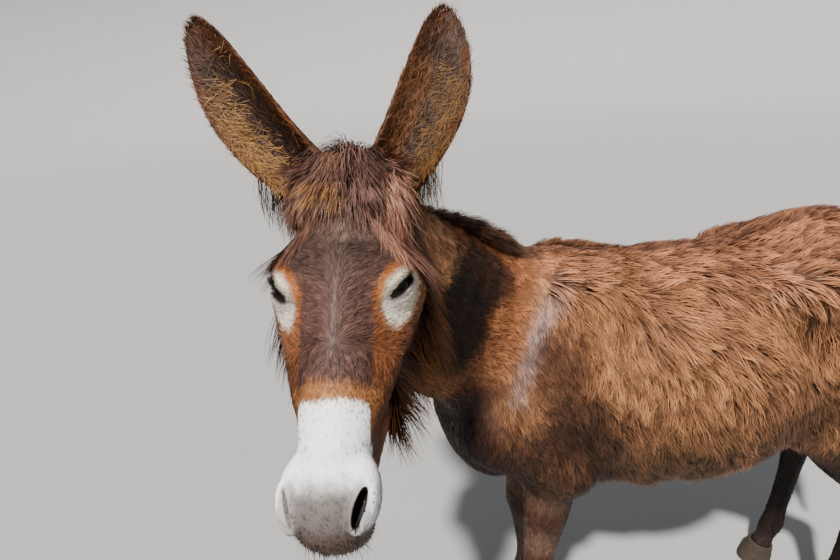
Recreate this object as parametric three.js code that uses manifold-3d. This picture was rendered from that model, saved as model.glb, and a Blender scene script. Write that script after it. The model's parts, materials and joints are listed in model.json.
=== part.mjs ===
// A donkey at life size, standing still with its head turned to its left.
// Millimetres, +Z up. The animal faces -Y, its left side is +X, its soles are at the lowest level.
//
// Every form is a distance function of a point: an egg, a tapered limb, a column or a leaf,
// melted together where flesh runs from one form into the next. A body part is then lofted:
// rays run outwards from the rings along its middle line to the outside of the coat.
// Neighbours share the plane, or the surface, that parts them, and keep a hair's breadth apart.

import * as THREE from 'three';
import { mergeVertices } from 'three/addons/utils/BufferGeometryUtils.js';
import Module from 'manifold-3d';

const wasm = await Module();
wasm.setup();

// ---------------------------------------------------------------- driving dimensions
const GAP = 0.3;              // between neighbouring parts
const OVERLAP = 1.5;          // how far a cutting form runs past the part it stands for
const CORONET = 54;           // height of the hair line above the hoof
const CORONET_SLOPE = 0.22;   // rise of the hair line from heel to toe
const KNEE_CUT = 376;         // where forearm and foreleg part
const HOCK_CUT = 462;         // where gaskin and hind cannon part
const EYE_RADIUS = 21;
const EYE_PLACE = [70, 206, -32.5];          // in the head's frame, on its left
const NOSTRIL = { place: [40, 467, -22], radii: [9, 21, 12], slant: -16 };
const HEAD_SCALE = 1.04;      // head length against a 500 mm head

const POLL = [271, -428, 1454];              // top of the head, between the ears
const FACE_LINE = [0.725, -0.138, -0.67];    // from poll to muzzle

// ---------------------------------------------------------------- small vector tools
const add = (a, b, k = 1) => [a[0] + k * b[0], a[1] + k * b[1], a[2] + k * b[2]];
const dot = (a, b) => a[0] * b[0] + a[1] * b[1] + a[2] * b[2];
const cross = (a, b) => [
  a[1] * b[2] - a[2] * b[1],
  a[2] * b[0] - a[0] * b[2],
  a[0] * b[1] - a[1] * b[0],
];
const unit = (a) => add([0, 0, 0], a, 1 / Math.hypot(...a));
const clamp = (x, low, high) => Math.min(Math.max(x, low), high);

// A table of stations made finer by a smooth curve through its rows.
function fair(rows, steps) {
  const out = [];
  for (let i = 0; i < rows.length - 1; i += 1) {
    const before = rows[Math.max(i - 1, 0)];
    const after = rows[Math.min(i + 2, rows.length - 1)];
    for (let s = 0; s < steps; s += 1) {
      const t = s / steps;
      out.push(rows[i].map((a, c) => {
        const b = rows[i + 1][c];
        const bend = 2 * before[c] - 5 * a + 4 * b - after[c];
        const twist = 3 * (a - b) + after[c] - before[c];
        return a + 0.5 * t * (b - before[c] + t * (bend + t * twist));
      }));
    }
  }
  out.push(rows[rows.length - 1]);
  return out;
}

// Reads a fine table at a value of its first column, which rises or falls throughout.
function readTable(table, value) {
  const rising = table[table.length - 1][0] > table[0][0];
  let i = 0;
  while (i < table.length - 2 && (rising ? table[i + 1][0] < value : table[i + 1][0] > value)) i += 1;
  const [a, b] = [table[i], table[i + 1]];
  const t = clamp((value - a[0]) / (b[0] - a[0]), 0, 1);
  return a.map((x, c) => x + t * (b[c] - x));
}

// ---------------------------------------------------------------- forms as distance functions
function roundness(sum, slope) {
  const k = Math.sqrt(sum) + 1e-6;
  return (k * (k - 1)) / (Math.sqrt(slope) + 1e-9);
}

const egg = (at, r) => (p) => {
  const a = (p[0] - at[0]) / r[0];
  const b = (p[1] - at[1]) / r[1];
  const c = (p[2] - at[2]) / r[2];
  return roundness(a * a + b * b + c * c, (a / r[0]) ** 2 + (b / r[1]) ** 2 + (c / r[2]) ** 2);
};

// A tapered limb of oval section: half width along side, half depth across it.
function limb(from, to, [widthA, depthA], [widthB, depthB], side = [1, 0, 0]) {
  const run = add(to, from, -1);
  const length2 = dot(run, run);
  return (p) => {
    const q = add(p, from, -1);
    const t = clamp(dot(q, run) / length2, 0, 1);
    const off = add(q, run, -t);
    const across = dot(off, side);
    const rest2 = Math.max(dot(off, off) - across * across, 0);
    const w = widthA + (widthB - widthA) * t;
    const d = depthA + (depthB - depthA) * t;
    const a = across / w;
    return roundness(a * a + rest2 / (d * d), (a / w) ** 2 + rest2 / d ** 4);
  };
}

// An upright limb: rows of height, middle x, middle y, half width, half depth.
function column(rows) {
  const table = fair(rows, 6);
  return (p) => {
    const [, x, y, w, d] = readTable(table, p[2]);
    const a = (p[0] - x) / w;
    const b = (p[1] - y) / d;
    return roundness(a * a + b * b, (a / w) ** 2 + (b / d) ** 2);
  };
}

// A limb along a bent line: rows of x, y, z, half width, half depth.
function sweep(rows) {
  const fine = fair(rows, 3);
  const parts = fine.slice(1).map((b, i) => {
    const a = fine[i];
    const side = unit(cross(add(b, a, -1), [0, 0, -1]));
    return limb(a.slice(0, 3), b.slice(0, 3), a.slice(3), b.slice(3), side);
  });
  return (p) => Math.min(...parts.map((part) => part(p)));
}

function soften(a, b, k) {
  const h = Math.max(k - Math.abs(a - b), 0) / k;
  return Math.min(a, b) - (h * h * k) / 4;
}

// Melts forms together; each form after the first comes with the width of its blend.
const melt = (first, ...others) => (p) => {
  let d = first(p);
  for (const [form, k] of others) d = soften(d, form(p), k);
  return d;
};

const bothSides = (form) => (p) => form([Math.abs(p[0]), p[1], p[2]]);

// ---------------------------------------------------------------- head, in its own frame
// Sideways to the animal's left, down the face, and out of the forehead; the poll is the origin.
function headAxes() {
  const down = unit(FACE_LINE);
  const out = unit(add([0, 0, 1], down, -down[2]));
  return [cross(out, down), down, out];
}

const HEAD_AXES = headAxes();

const toHead = (p) => {
  const q = add(p, POLL, -1);
  return HEAD_AXES.map((axis) => dot(q, axis) / HEAD_SCALE);
};

const turnFromHead = (q) => HEAD_AXES.reduce((sum, axis, i) => add(sum, axis, q[i]), [0, 0, 0]);

const fromHead = (q) => add(POLL, turnFromHead(q), HEAD_SCALE);

const skull = bothSides(melt(
  egg([0, 66, -62], [64, 92, 66]),                                       // brain case
  [egg([0, 165, -50], [80, 98, 50]), 30],                                // forehead
  [egg([66, 188, -44], [32, 46, 32]), 25],                               // brow over the eye
  [limb([86, 192, -70], [46, 335, -66], [17, 17], [8, 8]), 25],          // cheek bone
  [limb([0, 170, -46], [0, 400, -40], [56, 44], [34, 38]), 30],          // bridge of the nose
  [limb([36, 230, -88], [15, 415, -66], [42, 52], [24, 38]), 30],        // upper jaw
  [egg([0, 458, -60], [52, 50, 54]), 20],                                // muzzle
  [egg([38, 450, -44], [22, 40, 28]), 15],                               // nostril wing
  [egg([0, 486, -78], [44, 28, 34]), 15],                                // upper lip
  [egg([0, 452, -120], [34, 46, 27]), 12],                               // chin
  [limb([54, 140, -192], [22, 400, -124], [40, 44], [22, 28]), 30],      // lower jaw
  [egg([62, 168, -142], [42, 112, 92]), 30],                             // cheek
  [egg([0, 60, -130], [60, 75, 85]), 40],                                // throat latch
  [limb([0, 110, -160], [0, 330, -118], [44, 66], [26, 30]), 40],        // floor of the mouth
));

const headForm = (p) => skull(toHead(p)) * HEAD_SCALE;

// ---------------------------------------------------------------- neck, trunk and tail
const neckForm = sweep([
  [0, -10, 950, 125, 212],
  [36, -160, 1018, 110, 196],
  [108, -275, 1106, 92, 182],
  [178, -350, 1224, 76, 128],
  [236, -393, 1316, 68, 100],
]);

const trunkForm = bothSides(melt(
  egg([0, 80, 865], [205, 330, 262]),                                      // rib cage
  [egg([0, 310, 838], [258, 340, 285]), 80],                               // belly
  [limb([0, -20, 1055], [0, 520, 1060], [110, 80], [120, 90]), 80],        // back
  [limb([0, -60, 1060], [0, 110, 1075], [55, 78], [60, 72]), 60],          // withers
  [egg([0, 620, 1010], [175, 235, 195]), 80],                              // croup
  [egg([138, 490, 1070], [60, 85, 60]), 80],                               // point of the hip
  [egg([118, 650, 860], [105, 190, 260]), 70],                             // thigh
  [egg([85, 770, 930], [80, 90, 120]), 60],                                // buttock
  [limb([80, 20, 1060], [140, -170, 820], [60, 105], [65, 95]), 60],       // shoulder
  [limb([140, -165, 815], [150, -30, 700], [75, 85], [65, 80]), 50],       // upper arm
  [egg([0, -156, 826], [165, 155, 195]), 70],                              // breast
  [limb([0, -170, 710], [0, 160, 660], [120, 80], [150, 80]), 70],         // brisket
));

const TAIL_LINE = [
  // x, y, z, half width, half depth
  [0, 790, 1060, 40, 36],
  [2, 862, 1000, 31, 29],
  [4, 896, 900, 25, 24],
  [8, 908, 790, 20, 20],
  [12, 908, 690, 17, 17],
];
const TUFT_LINE = [
  [12, 908, 689, 18, 18],
  [14, 908, 640, 31, 29],
  [17, 906, 570, 40, 36],
  [20, 902, 490, 36, 32],
  [22, 898, 420, 22, 20],
  [23, 896, 372, 6, 6],
];

// ---------------------------------------------------------------- legs
// Rows of height, sideways place, place along the body, half width, half depth.
const FORELEG = [
  [720, 135, -50, 62, 85],
  [640, 131, -54, 53, 72],
  [560, 128, -60, 45, 59],
  [480, 124, -68, 38, 47],
  [425, 121, -74, 37, 42],
  [378, 119, -77, 39, 42],
  [330, 117, -76, 31, 34],
  [280, 115, -73, 26, 30],
  [200, 114, -70, 25, 28],
  [150, 114, -72, 28, 31],
  [118, 113, -78, 31, 35],
  [86, 113, -89, 28, 30],
  [54, 112, -102, 32, 36],
];
const HINDLEG = [
  [760, 138, 604, 66, 118],
  [680, 136, 632, 66, 102],
  [600, 130, 682, 56, 83],
  [530, 123, 738, 44, 66],
  [470, 118, 792, 38, 57],
  [415, 115, 806, 33, 46],
  [350, 113, 803, 29, 36],
  [260, 112, 796, 27, 32],
  [175, 111, 788, 28, 32],
  [125, 111, 783, 32, 37],
  [88, 110, 771, 28, 31],
  [54, 110, 758, 32, 35],
];
const LEGS = [
  { name: 'fore_left', sign: 1, rows: FORELEG, stride: 0, cut: KNEE_CUT },
  { name: 'fore_right', sign: -1, rows: FORELEG, stride: 45, cut: KNEE_CUT },
  { name: 'hind_left', sign: 1, rows: HINDLEG, stride: 0, cut: HOCK_CUT },
  { name: 'hind_right', sign: -1, rows: HINDLEG, stride: -20, cut: HOCK_CUT },
];
const HIP_HEIGHT = 900;       // the legs swing from here for their stride

// A leg's rows with its side and its stride put in.
function standing({ sign, rows, stride }) {
  return rows.map(([z, x, y, w, d]) => [z, sign * x, y + (stride * (HIP_HEIGHT - z)) / HIP_HEIGHT, w, d]);
}

const HOOF = {
  // height at the middle of each ring, forward shift, half width, half length
  rings: [[1, 0, 34, 38], [0.62, 5, 37, 43], [0.25, 10, 40, 48], [0, 14, 41, 51]],
};

// ---------------------------------------------------------------- ears
// Rows of place along the ear, half width, depth of the hollow, thickness of the shell.
const EAR_LEAF = fair([
  [-0.16, 30, 44, 20],
  [0, 40, 46, 18],
  [0.2, 50, 38, 15],
  [0.45, 55, 29, 12],
  [0.66, 51, 22, 10],
  [0.82, 41, 15, 8],
  [0.93, 27, 9, 6.5],
  [1, 10, 4, 5],
], 3);
const EAR_LENGTH = 314;
const EAR_BOW = 22;           // how far the ear bows outwards at its middle
const EARS = [
  // root, tip and opening directions in the head's frame
  {
    name: 'ear_left',
    root: [60, 30, -30],
    along: [0.286, -0.947, 0.137],
    opens: [0.184, 0.421, 0.863],
    out: 1,
  },
  {
    name: 'ear_right',
    root: [-60, 30, -30],
    along: [-0.564, -0.756, 0.324],
    opens: [-0.308, 0.496, 0.855],
    out: -1,
  },
];

function earFrame(ear) {
  const along = unit(turnFromHead(ear.along));
  const towards = turnFromHead(ear.opens);
  const opens = unit(add(towards, along, -dot(towards, along)));
  const across = cross(along, opens);
  const outwards = Math.sign(ear.out * dot(across, HEAD_AXES[0]));
  return { root: fromHead(ear.root), along, opens, across, outwards };
}

// One crescent across the ear: round the outside of the shell and back round its inside.
function earRing(frame, t, arcSteps, grow) {
  const [, width, depth, shell] = readTable(EAR_LEAF, t);
  const bow = 4 * EAR_BOW * clamp(t, 0, 1) * (1 - clamp(t, 0, 1)) * frame.outwards;
  const middle = add(add(frame.root, frame.along, EAR_LENGTH * t), frame.across, bow);
  const radius = (width * width + depth * depth) / (2 * depth);
  const swing = Math.atan2(width, radius - depth);
  const centre = add(middle, frame.opens, radius - depth);
  const at = (r, angle) => add(
    add(centre, frame.opens, -r * Math.cos(angle)),
    frame.across,
    r * Math.sin(angle),
  );
  const outer = [];
  const inner = [];
  for (let i = 0; i <= arcSteps; i += 1) {
    const angle = swing * ((2 * i) / arcSteps - 1);
    const thin = 1 - 0.6 * Math.abs((2 * i) / arcSteps - 1) ** 3;
    outer.push(at(radius + (shell * thin) / 2 + grow, angle));
    inner.unshift(at(Math.max(radius - (shell * thin) / 2 - grow, 1), angle));
  }
  return [...outer, ...inner];
}

// ---------------------------------------------------------------- lofts
// Where a ray from inside leaves the form, grown by a little.
function cast(form, from, way, grow) {
  const STEP = 5;
  const REACH = 520;
  let near = 0;
  while (near < REACH && form(add(from, way, near + STEP)) < grow) near += STEP;
  let [low, high] = [near, near + STEP];
  for (let i = 0; i < 14; i += 1) {
    const mid = (low + high) / 2;
    if (form(add(from, way, mid)) < grow) low = mid;
    else high = mid;
  }
  return add(from, way, high);
}

// Rows of points joined into one closed mesh, with a point in the middle of each end.
function shell(rows, first, last) {
  const points = [first, ...rows.flat(), last];
  const n = rows[0].length;
  const faces = [];
  const at = (row, i) => 1 + row * n + (i % n);
  for (let i = 0; i < n; i += 1) {
    faces.push([0, at(0, i + 1), at(0, i)]);
    faces.push([points.length - 1, at(rows.length - 1, i), at(rows.length - 1, i + 1)]);
    for (let row = 0; row < rows.length - 1; row += 1) {
      const [a, b, c, d] = [at(row, i), at(row, i + 1), at(row + 1, i), at(row + 1, i + 1)];
      const even = (row + i) % 2 === 0;
      if (even) faces.push([a, b, d], [a, d, c]);
      else faces.push([a, b, c], [b, d, c]);
    }
  }
  const volume = faces.reduce((sum, [a, b, c]) => sum + dot(points[a], cross(points[b], points[c])), 0);
  const outward = volume > 0 ? faces : faces.map(([a, b, c]) => [a, c, b]);
  return new wasm.Manifold(new wasm.Mesh({
    numProp: 3,
    vertProperties: new Float32Array(points.flat()),
    triVerts: new Uint32Array(outward.flat()),
  }));
}

// A ring of a loft: its middle, two directions in its plane, and the way along the loft.
function ring(top, bottom, along) {
  const up = unit(add(top, bottom, -1));
  const left = unit(cross(up, along));
  return { at: add(add([0, 0, 0], top, 0.5), bottom, 0.5), up, left, along: cross(left, up) };
}

// Rings strung between a line along the top of the part and one along its underside.
// The first or last ring can be told its way, so that two parts share that plane.
function ringsBetween(tops, bottoms, count, { firstWay, lastWay } = {}) {
  const [upper, lower] = [tops, bottoms].map((line) => fair(line, 8));
  const read = (line, t) => readTable(line.map((p, i) => [i / (line.length - 1), ...p]), t).slice(1);
  const middle = (t) => add(read(upper, t), read(lower, t));
  return Array.from({ length: count }, (_, i) => {
    const t = i / (count - 1);
    const drift = unit(add(middle(Math.min(t + 0.02, 1)), middle(Math.max(t - 0.02, 0)), -1));
    const told = i === 0 ? firstWay : lastWay;
    const isEnd = i === 0 || i === count - 1;
    return ring(read(upper, t), read(lower, t), isEnd && told ? told : drift);
  });
}

// Points round a ring, on the outside of the form. A lean of 90 degrees looks straight along it.
function ringPoints(form, { at, up, left, along }, sides, grow, lean = 0) {
  const [c, s] = [Math.cos(lean), Math.sin(lean)];
  return Array.from({ length: sides }, (_, i) => {
    const angle = (2 * Math.PI * i) / sides;
    const round = add(add([0, 0, 0], up, c * Math.cos(angle)), left, c * Math.sin(angle));
    return cast(form, at, add(round, along, s), grow);
  });
}

// A form wrapped along its rings. Each end is flat, or round where a dome is asked for.
function wrap(form, rings, sides, { grow = 0, startDome = 0, endDome = 0, past = 0 } = {}) {
  const ends = [startDome, endDome];
  const placed = rings.map((one, i) => {
    if (i === 0 && !startDome) return { ...one, at: add(one.at, one.along, GAP / 2 - past) };
    if (i === rings.length - 1 && !endDome) return { ...one, at: add(one.at, one.along, past - GAP / 2) };
    return one;
  });
  const rows = placed.map((one) => ringPoints(form, one, sides, grow));
  const tips = ends.map((steps, end) => {
    const base = end === 0 ? placed[0] : placed[placed.length - 1];
    const sign = end === 0 ? -1 : 1;
    for (let i = 1; i <= steps; i += 1) {
      const row = ringPoints(form, base, sides, grow, (sign * i * Math.PI) / 2 / (steps + 1));
      if (end === 0) rows.unshift(row);
      else rows.push(row);
    }
    return steps ? cast(form, base.at, add([0, 0, 0], base.along, sign), grow) : base.at;
  });
  return shell(rows, tips[0], tips[1]);
}

// ---------------------------------------------------------------- middle lines of the parts
const RUMP = [[0, 640, 1150], [0, 640, 640]];
const NECK_ROOT = [[14, -78, 1170], [44, -352, 900]];
const NECK_WAY = [0.2, -0.7, 0.68];

const trunkRings = ringsBetween(
  [RUMP[0], [0, 480, 1120], [0, 300, 1100], [0, 130, 1110], [0, 20, 1130], [2, -40, 1150], NECK_ROOT[0]],
  [RUMP[1], [0, 440, 600], [0, 220, 580], [0, 10, 610], [0, -160, 680], [14, -290, 790], NECK_ROOT[1]],
  19,
  { lastWay: NECK_WAY },
);
const neckRings = ringsBetween(
  [NECK_ROOT[0], [40, -155, 1220], [72, -222, 1272], [108, -287, 1322], [170, -346, 1391]],
  [NECK_ROOT[1], [112, -370, 950], [178, -384, 1020], [246, -412, 1128], [302, -440, 1241]],
  12,
  { firstWay: NECK_WAY },
);
const headRings = ringsBetween(
  [[0, 74, 4], [0, 120, 4], [0, 165, 2], [0, 240, 0], [0, 330, -4], [0, 440, -10]].map(fromHead),
  [[0, 118, -236], [0, 152, -232], [0, 196, -214], [0, 256, -184], [0, 336, -150], [0, 436, -134]].map(fromHead),
  20,
);

// Trunk and neck melt together, and their shared plane cuts the melted form.
const barrelForm = melt(trunkForm, [neckForm, 60]);

const trunkWrap = (options) => wrap(barrelForm, trunkRings, 24, { startDome: 4, ...options });
const neckWrap = (options) => wrap(barrelForm, neckRings, 22, { endDome: 2, ...options });
const headWrap = (options) => wrap(headForm, headRings, 26, { startDome: 4, endDome: 5, ...options });

// ---------------------------------------------------------------- parts
const solids = {};
const cutterSettings = { grow: GAP, past: OVERLAP };
const trunkCutter = trunkWrap(cutterSettings);
const neckCutter = neckWrap(cutterSettings);
const headCutter = headWrap(cutterSettings);

function earSolid(ear, grow = 0) {
  const frame = earFrame(ear);
  const places = [-0.14, -0.02, 0.1, 0.22, 0.34, 0.46, 0.58, 0.7, 0.8, 0.88, 0.94, 0.985];
  const rows = places.map((t) => earRing(frame, t, 9, grow));
  const tip = add(frame.root, frame.along, EAR_LENGTH + grow);
  return shell(rows, rowMiddle(rows[0]), tip);
}

function cutFrom(solid, cutters) {
  return cutters.reduce((left, cutter) => left.subtract(cutter), solid);
}

function rowMiddle(row) {
  return row.reduce((sum, p) => add(sum, p, 1 / row.length), [0, 0, 0]);
}

// The eyeball's middle, and the same ball a hair larger for its socket.
function eyeCentre(sign) {
  return fromHead([sign * EYE_PLACE[0], EYE_PLACE[1], EYE_PLACE[2]]);
}

function ball(centre, radius) {
  const sphere = new THREE.SphereGeometry(radius, 12, 8).translate(...centre);
  return solidOf(sphere);
}

function solidOf(geometry) {
  geometry.deleteAttribute('normal');
  geometry.deleteAttribute('uv');
  const merged = mergeVertices(geometry, 1e-3);
  return new wasm.Manifold(new wasm.Mesh({
    numProp: 3,
    vertProperties: new Float32Array(merged.attributes.position.array),
    triVerts: new Uint32Array(merged.index.array),
  }));
}

function makeHeadAndEyes() {
  let head = headWrap();
  for (const [name, sign] of [['eye_left', 1], ['eye_right', -1]]) {
    head = head.subtract(ball(eyeCentre(sign), EYE_RADIUS + GAP));
    solids[name] = ball(eyeCentre(sign), EYE_RADIUS);
  }
  for (const sign of [1, -1]) head = head.subtract(nostril(sign));
  solids.head = head;
}

// The hollow of a nostril, a slanting slot in the side of the muzzle. The head's frame is
// left-handed, so the slot is turned inside out before it goes there.
function nostril(sign) {
  const [width, length, depth] = NOSTRIL.radii;
  const slot = new THREE.SphereGeometry(1, 12, 8).scale(width, length, -depth);
  slot.rotateZ(THREE.MathUtils.degToRad(sign * NOSTRIL.slant));
  slot.translate(sign * NOSTRIL.place[0], NOSTRIL.place[1], NOSTRIL.place[2]);
  const basis = new THREE.Matrix4().makeBasis(...HEAD_AXES.map((axis) => new THREE.Vector3(...axis)));
  slot.scale(HEAD_SCALE, HEAD_SCALE, HEAD_SCALE);
  slot.applyMatrix4(basis.setPosition(...POLL));
  return solidOf(slot);
}

function makeEars() {
  for (const ear of EARS) {
    solids[ear.name] = cutFrom(earSolid(ear), [headCutter, neckCutter]);
  }
}

// Rings down a leg from one height to another, their planes level or sloped with the coronet.
function legRings(rows, heights, slopes) {
  const table = fair(rows, 6);
  return heights.map((z, i) => {
    const [, x, y] = readTable(table, z);
    return ring([x, y + 10, z - 10 * slopes[i]], [x, y - 10, z + 10 * slopes[i]], [0, 0, -1]);
  });
}

function makeLegs() {
  for (const leg of LEGS) {
    const rows = standing(leg);
    const form = column(rows);
    const top = rows[0][0];
    const high = Array.from({ length: 9 }, (_, i) => top + ((leg.cut - top) * i) / 8);
    const low = Array.from({ length: 13 }, (_, i) => leg.cut + ((CORONET - leg.cut) * i) / 12);
    const level = high.map(() => 0);
    const sloping = low.map((_, i) => (i === low.length - 1 ? CORONET_SLOPE : 0));
    solids[`${leg.name}_upper`] = wrap(form, legRings(rows, high, level), 14).subtract(trunkCutter);
    solids[`${leg.name}_lower`] = wrap(form, legRings(rows, low, sloping), 12);
    solids[`${leg.name}_hoof`] = hoof(rows[rows.length - 1]);
  }
}

// A hoof under its coronet, with a flat sole.
function hoof([, x, y]) {
  const SIDES = 16;
  const rows = HOOF.rings.map(([height, forward, width, length]) => Array.from({ length: SIDES }, (_, i) => {
    const angle = (2 * Math.PI * i) / SIDES;
    const toe = Math.cos(angle);
    const dy = -forward - length * toe;
    const rise = height * (CORONET - GAP / 2 - CORONET_SLOPE * (dy + forward));
    return [x + width * Math.sin(angle), y + dy, rise];
  }));
  return shell(rows, rowMiddle(rows[0]), [x, y - HOOF.rings[3][1], 0]);
}

const earCutters = EARS.map((ear) => earSolid(ear, GAP));

// The short upright mane, from the poll to the withers.
function maneSolid(grow = 0) {
  const nape = [
    [18, -70, 1162, 11, 22],
    [42, -140, 1210, 12, 30],
    [80, -222, 1272, 13, 34],
    [122, -288, 1330, 14, 34],
    [168, -338, 1384, 14, 34],
    [216, -378, 1428, 14, 30],
    [256, -408, 1447, 11, 20],
  ];
  const rings = ringsBetween(
    nape.map(([x, y, z, , d]) => [x - d * 0.5, y + d * 0.4, z + d]),
    nape.map(([x, y, z, , d]) => [x + d * 0.2, y - d * 0.15, z - 0.3 * d]),
    13,
  );
  const form = sweep(nape);
  return wrap(form, rings, 8, { grow, past: grow ? OVERLAP : 0 });
}

function makeMane() {
  solids.mane = cutFrom(maneSolid(), [trunkCutter, neckCutter, headCutter, ...earCutters]);
}

// The lock of hair that falls between the ears on to the forehead.
function makeForelock() {
  const line = [[0, -22, 0], [0, 12, 6], [-3, 58, 4], [-4, 104, 0]].map(fromHead);
  const widths = [[30, 16], [40, 18], [42, 16], [26, 10]];
  const side = HEAD_AXES[0];
  const form = (p) => Math.min(...line.slice(1).map((to, i) => (
    limb(line[i], to, widths[i], widths[i + 1], side)(p)
  )));
  const lift = add([0, 0, 0], HEAD_AXES[2], 10);
  const rings = ringsBetween(line.map((p) => add(p, lift)), line.map((p) => add(p, lift, -1)), 8);
  const lock = wrap(form, rings, 12, { startDome: 1, endDome: 1 });
  solids.forelock = cutFrom(lock, [headCutter, neckCutter, maneSolid(GAP), ...earCutters]);
}

function makeTail() {
  const ringsDown = (line, count) => ringsBetween(
    line.map(([x, y, z, , d]) => [x, y + d, z]),
    line.map(([x, y, z, , d]) => [x, y - d, z]),
    count,
  );
  solids.tail_dock = wrap(sweep(TAIL_LINE), ringsDown(TAIL_LINE, 10), 10).subtract(trunkCutter);
  solids.tail_tuft = wrap(sweep(TUFT_LINE), ringsDown(TUFT_LINE, 9), 11);
}

function makeTrunkAndNeck() {
  solids.trunk = trunkWrap();
  const behindNeck = trunkWrap({ grow: 3 * GAP, past: 0.8 * GAP });
  solids.neck = neckWrap().subtract(behindNeck).subtract(headCutter);
}

// ---------------------------------------------------------------- coats and colours
const BROWN_COAT = { color: 0x5c3f30, roughness: 0.9, metalness: 0 };
const DARK_COAT = { color: 0x3a2821, roughness: 0.9, metalness: 0 };
const RUST_COAT = { color: 0x7a4a2c, roughness: 0.9, metalness: 0 };
const HOOF_HORN = { color: 0x3b3733, roughness: 0.55, metalness: 0 };
const DARK_EYE = { color: 0x17110e, roughness: 0.08, metalness: 0 };

function finishOf(name) {
  if (name.startsWith('eye')) return DARK_EYE;
  if (name.endsWith('hoof')) return HOOF_HORN;
  if (name.startsWith('ear')) return RUST_COAT;
  if (/mane|forelock|tuft|lower/.test(name)) return DARK_COAT;
  return BROWN_COAT;
}

function meshOf(name, solid) {
  const { vertProperties, triVerts } = solid.getMesh();
  const geometry = new THREE.BufferGeometry();
  geometry.setAttribute('position', new THREE.BufferAttribute(new Float32Array(vertProperties), 3));
  geometry.setIndex(new THREE.BufferAttribute(new Uint32Array(triVerts), 1));
  geometry.computeVertexNormals();
  const mesh = new THREE.Mesh(geometry, new THREE.MeshStandardMaterial(finishOf(name)));
  mesh.name = name;
  return mesh;
}

makeTrunkAndNeck();
makeHeadAndEyes();
makeEars();
makeLegs();
makeMane();
makeForelock();
makeTail();

const donkey = new THREE.Group();
for (const [name, solid] of Object.entries(solids)) donkey.add(meshOf(name, solid));

// The origin is on the ground under the middle of the animal's box.
const box = new THREE.Box3().setFromObject(donkey);
donkey.position.set(-(box.min.x + box.max.x) / 2, -(box.min.y + box.max.y) / 2, -box.min.z);

export default donkey;
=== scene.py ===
"""A donkey at life size: one skin over the whole body, eyes, hooves, and a coat of mesh tufts.

The body is described as forms melted together, in millimetres, in the frame its solids were
drawn in. The skin lies inside those solids by the depth of the coat, and every tuft of hair
grows from the skin, lies with the coat and takes its colour from the same markings.
"""
import functools
import json
import math
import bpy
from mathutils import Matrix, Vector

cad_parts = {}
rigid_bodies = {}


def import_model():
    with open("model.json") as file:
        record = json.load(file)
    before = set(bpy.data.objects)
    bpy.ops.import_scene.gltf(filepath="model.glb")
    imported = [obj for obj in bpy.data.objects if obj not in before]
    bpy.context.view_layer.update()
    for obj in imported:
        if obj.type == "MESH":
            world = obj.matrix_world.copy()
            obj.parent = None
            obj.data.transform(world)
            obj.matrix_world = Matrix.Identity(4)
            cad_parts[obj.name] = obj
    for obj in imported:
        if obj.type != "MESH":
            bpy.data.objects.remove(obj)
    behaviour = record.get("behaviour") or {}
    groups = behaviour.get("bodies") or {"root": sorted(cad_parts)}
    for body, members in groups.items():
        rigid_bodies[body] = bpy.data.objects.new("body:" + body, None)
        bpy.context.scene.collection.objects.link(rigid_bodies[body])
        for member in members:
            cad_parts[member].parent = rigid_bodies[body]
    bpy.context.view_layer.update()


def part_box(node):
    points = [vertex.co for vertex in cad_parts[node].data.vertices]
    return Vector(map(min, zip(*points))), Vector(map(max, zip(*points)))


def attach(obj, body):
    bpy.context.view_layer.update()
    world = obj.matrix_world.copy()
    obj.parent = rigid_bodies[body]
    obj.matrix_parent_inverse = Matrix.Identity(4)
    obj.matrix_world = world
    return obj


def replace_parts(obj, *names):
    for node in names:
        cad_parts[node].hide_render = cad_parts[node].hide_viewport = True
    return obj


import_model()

import types

import bpy
import numpy as np
from mathutils import Matrix, Vector
from mathutils.kdtree import KDTree

bl_info = {
    "name": "Standing donkey",
    "version": (1, 0, 0),
    "blender": (4, 5, 0),
    "location": "3D View > Sidebar > Donkey",
    "description": "A life-size donkey with skin, eyes, hooves and a coat of mesh tufts",
    "category": "Add Mesh",
}

# ---------------------------------------------------------------- driving dimensions, mm
SEED = 7
CORONET = 54              # height of the hair line above the hoof
CORONET_SLOPE = 0.22
HEAD_SCALE = 1.04
POLL = (271, -428, 1454)
FACE_LINE = (0.725, -0.138, -0.67)
EYE_PLACE = (70, 206, -32.5)
EYE_RADIUS = 21
NOSTRIL_PLACE = (40, 467, -22)
EAR_LENGTH = 314
EAR_BOW = 22

NET_STEP = 8              # cell of the net that finds the skin
FACE_EDGE = 3.6           # longest edge on the face
FINE_EDGE = 1.7           # longest edge round eyes, nostrils and lips
PATCH = 0.003             # side of a tuft's patch on the coat's unwrap

# Tufts in each coat; the trunk's are for one of its quarters, under coat and outer coat.
TRUNK_UNDER, TRUNK_OUTER = 18000, 32000
NECK_TUFTS = 44000
LEG_TUFTS = 20000         # in the fore pair, and again in the hind pair
FACE_TUFTS, CHEEK_TUFTS = 56000, 32000
EAR_BACKS, EAR_HOLLOWS, EAR_CURLS, EAR_STRANDS = 20000, 8000, 2600, 330
MANE_TUFTS, FORELOCK_TUFTS, CROWN_TUFTS, JAW_TUFTS = 11000, 4200, 9000, 10000
DOCK_TUFTS, TAIL_STRANDS = 5000, 2800
LASHES, WHISKERS, STUBBLE = 110, 240, 2200

MID_TRUNK = 235           # where the fore quarters of the trunk's coat meet the hind ones
TUFT_TOP, TUFT_END = 790, 375          # heights between which the tail's long hair hangs

# How deep the coat lies over the skin.
TRUNK_COAT = 20
NECK_COAT = 15
LEG_COAT = 4
EAR_COAT = 1.2
TAIL_COAT = 6

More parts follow.
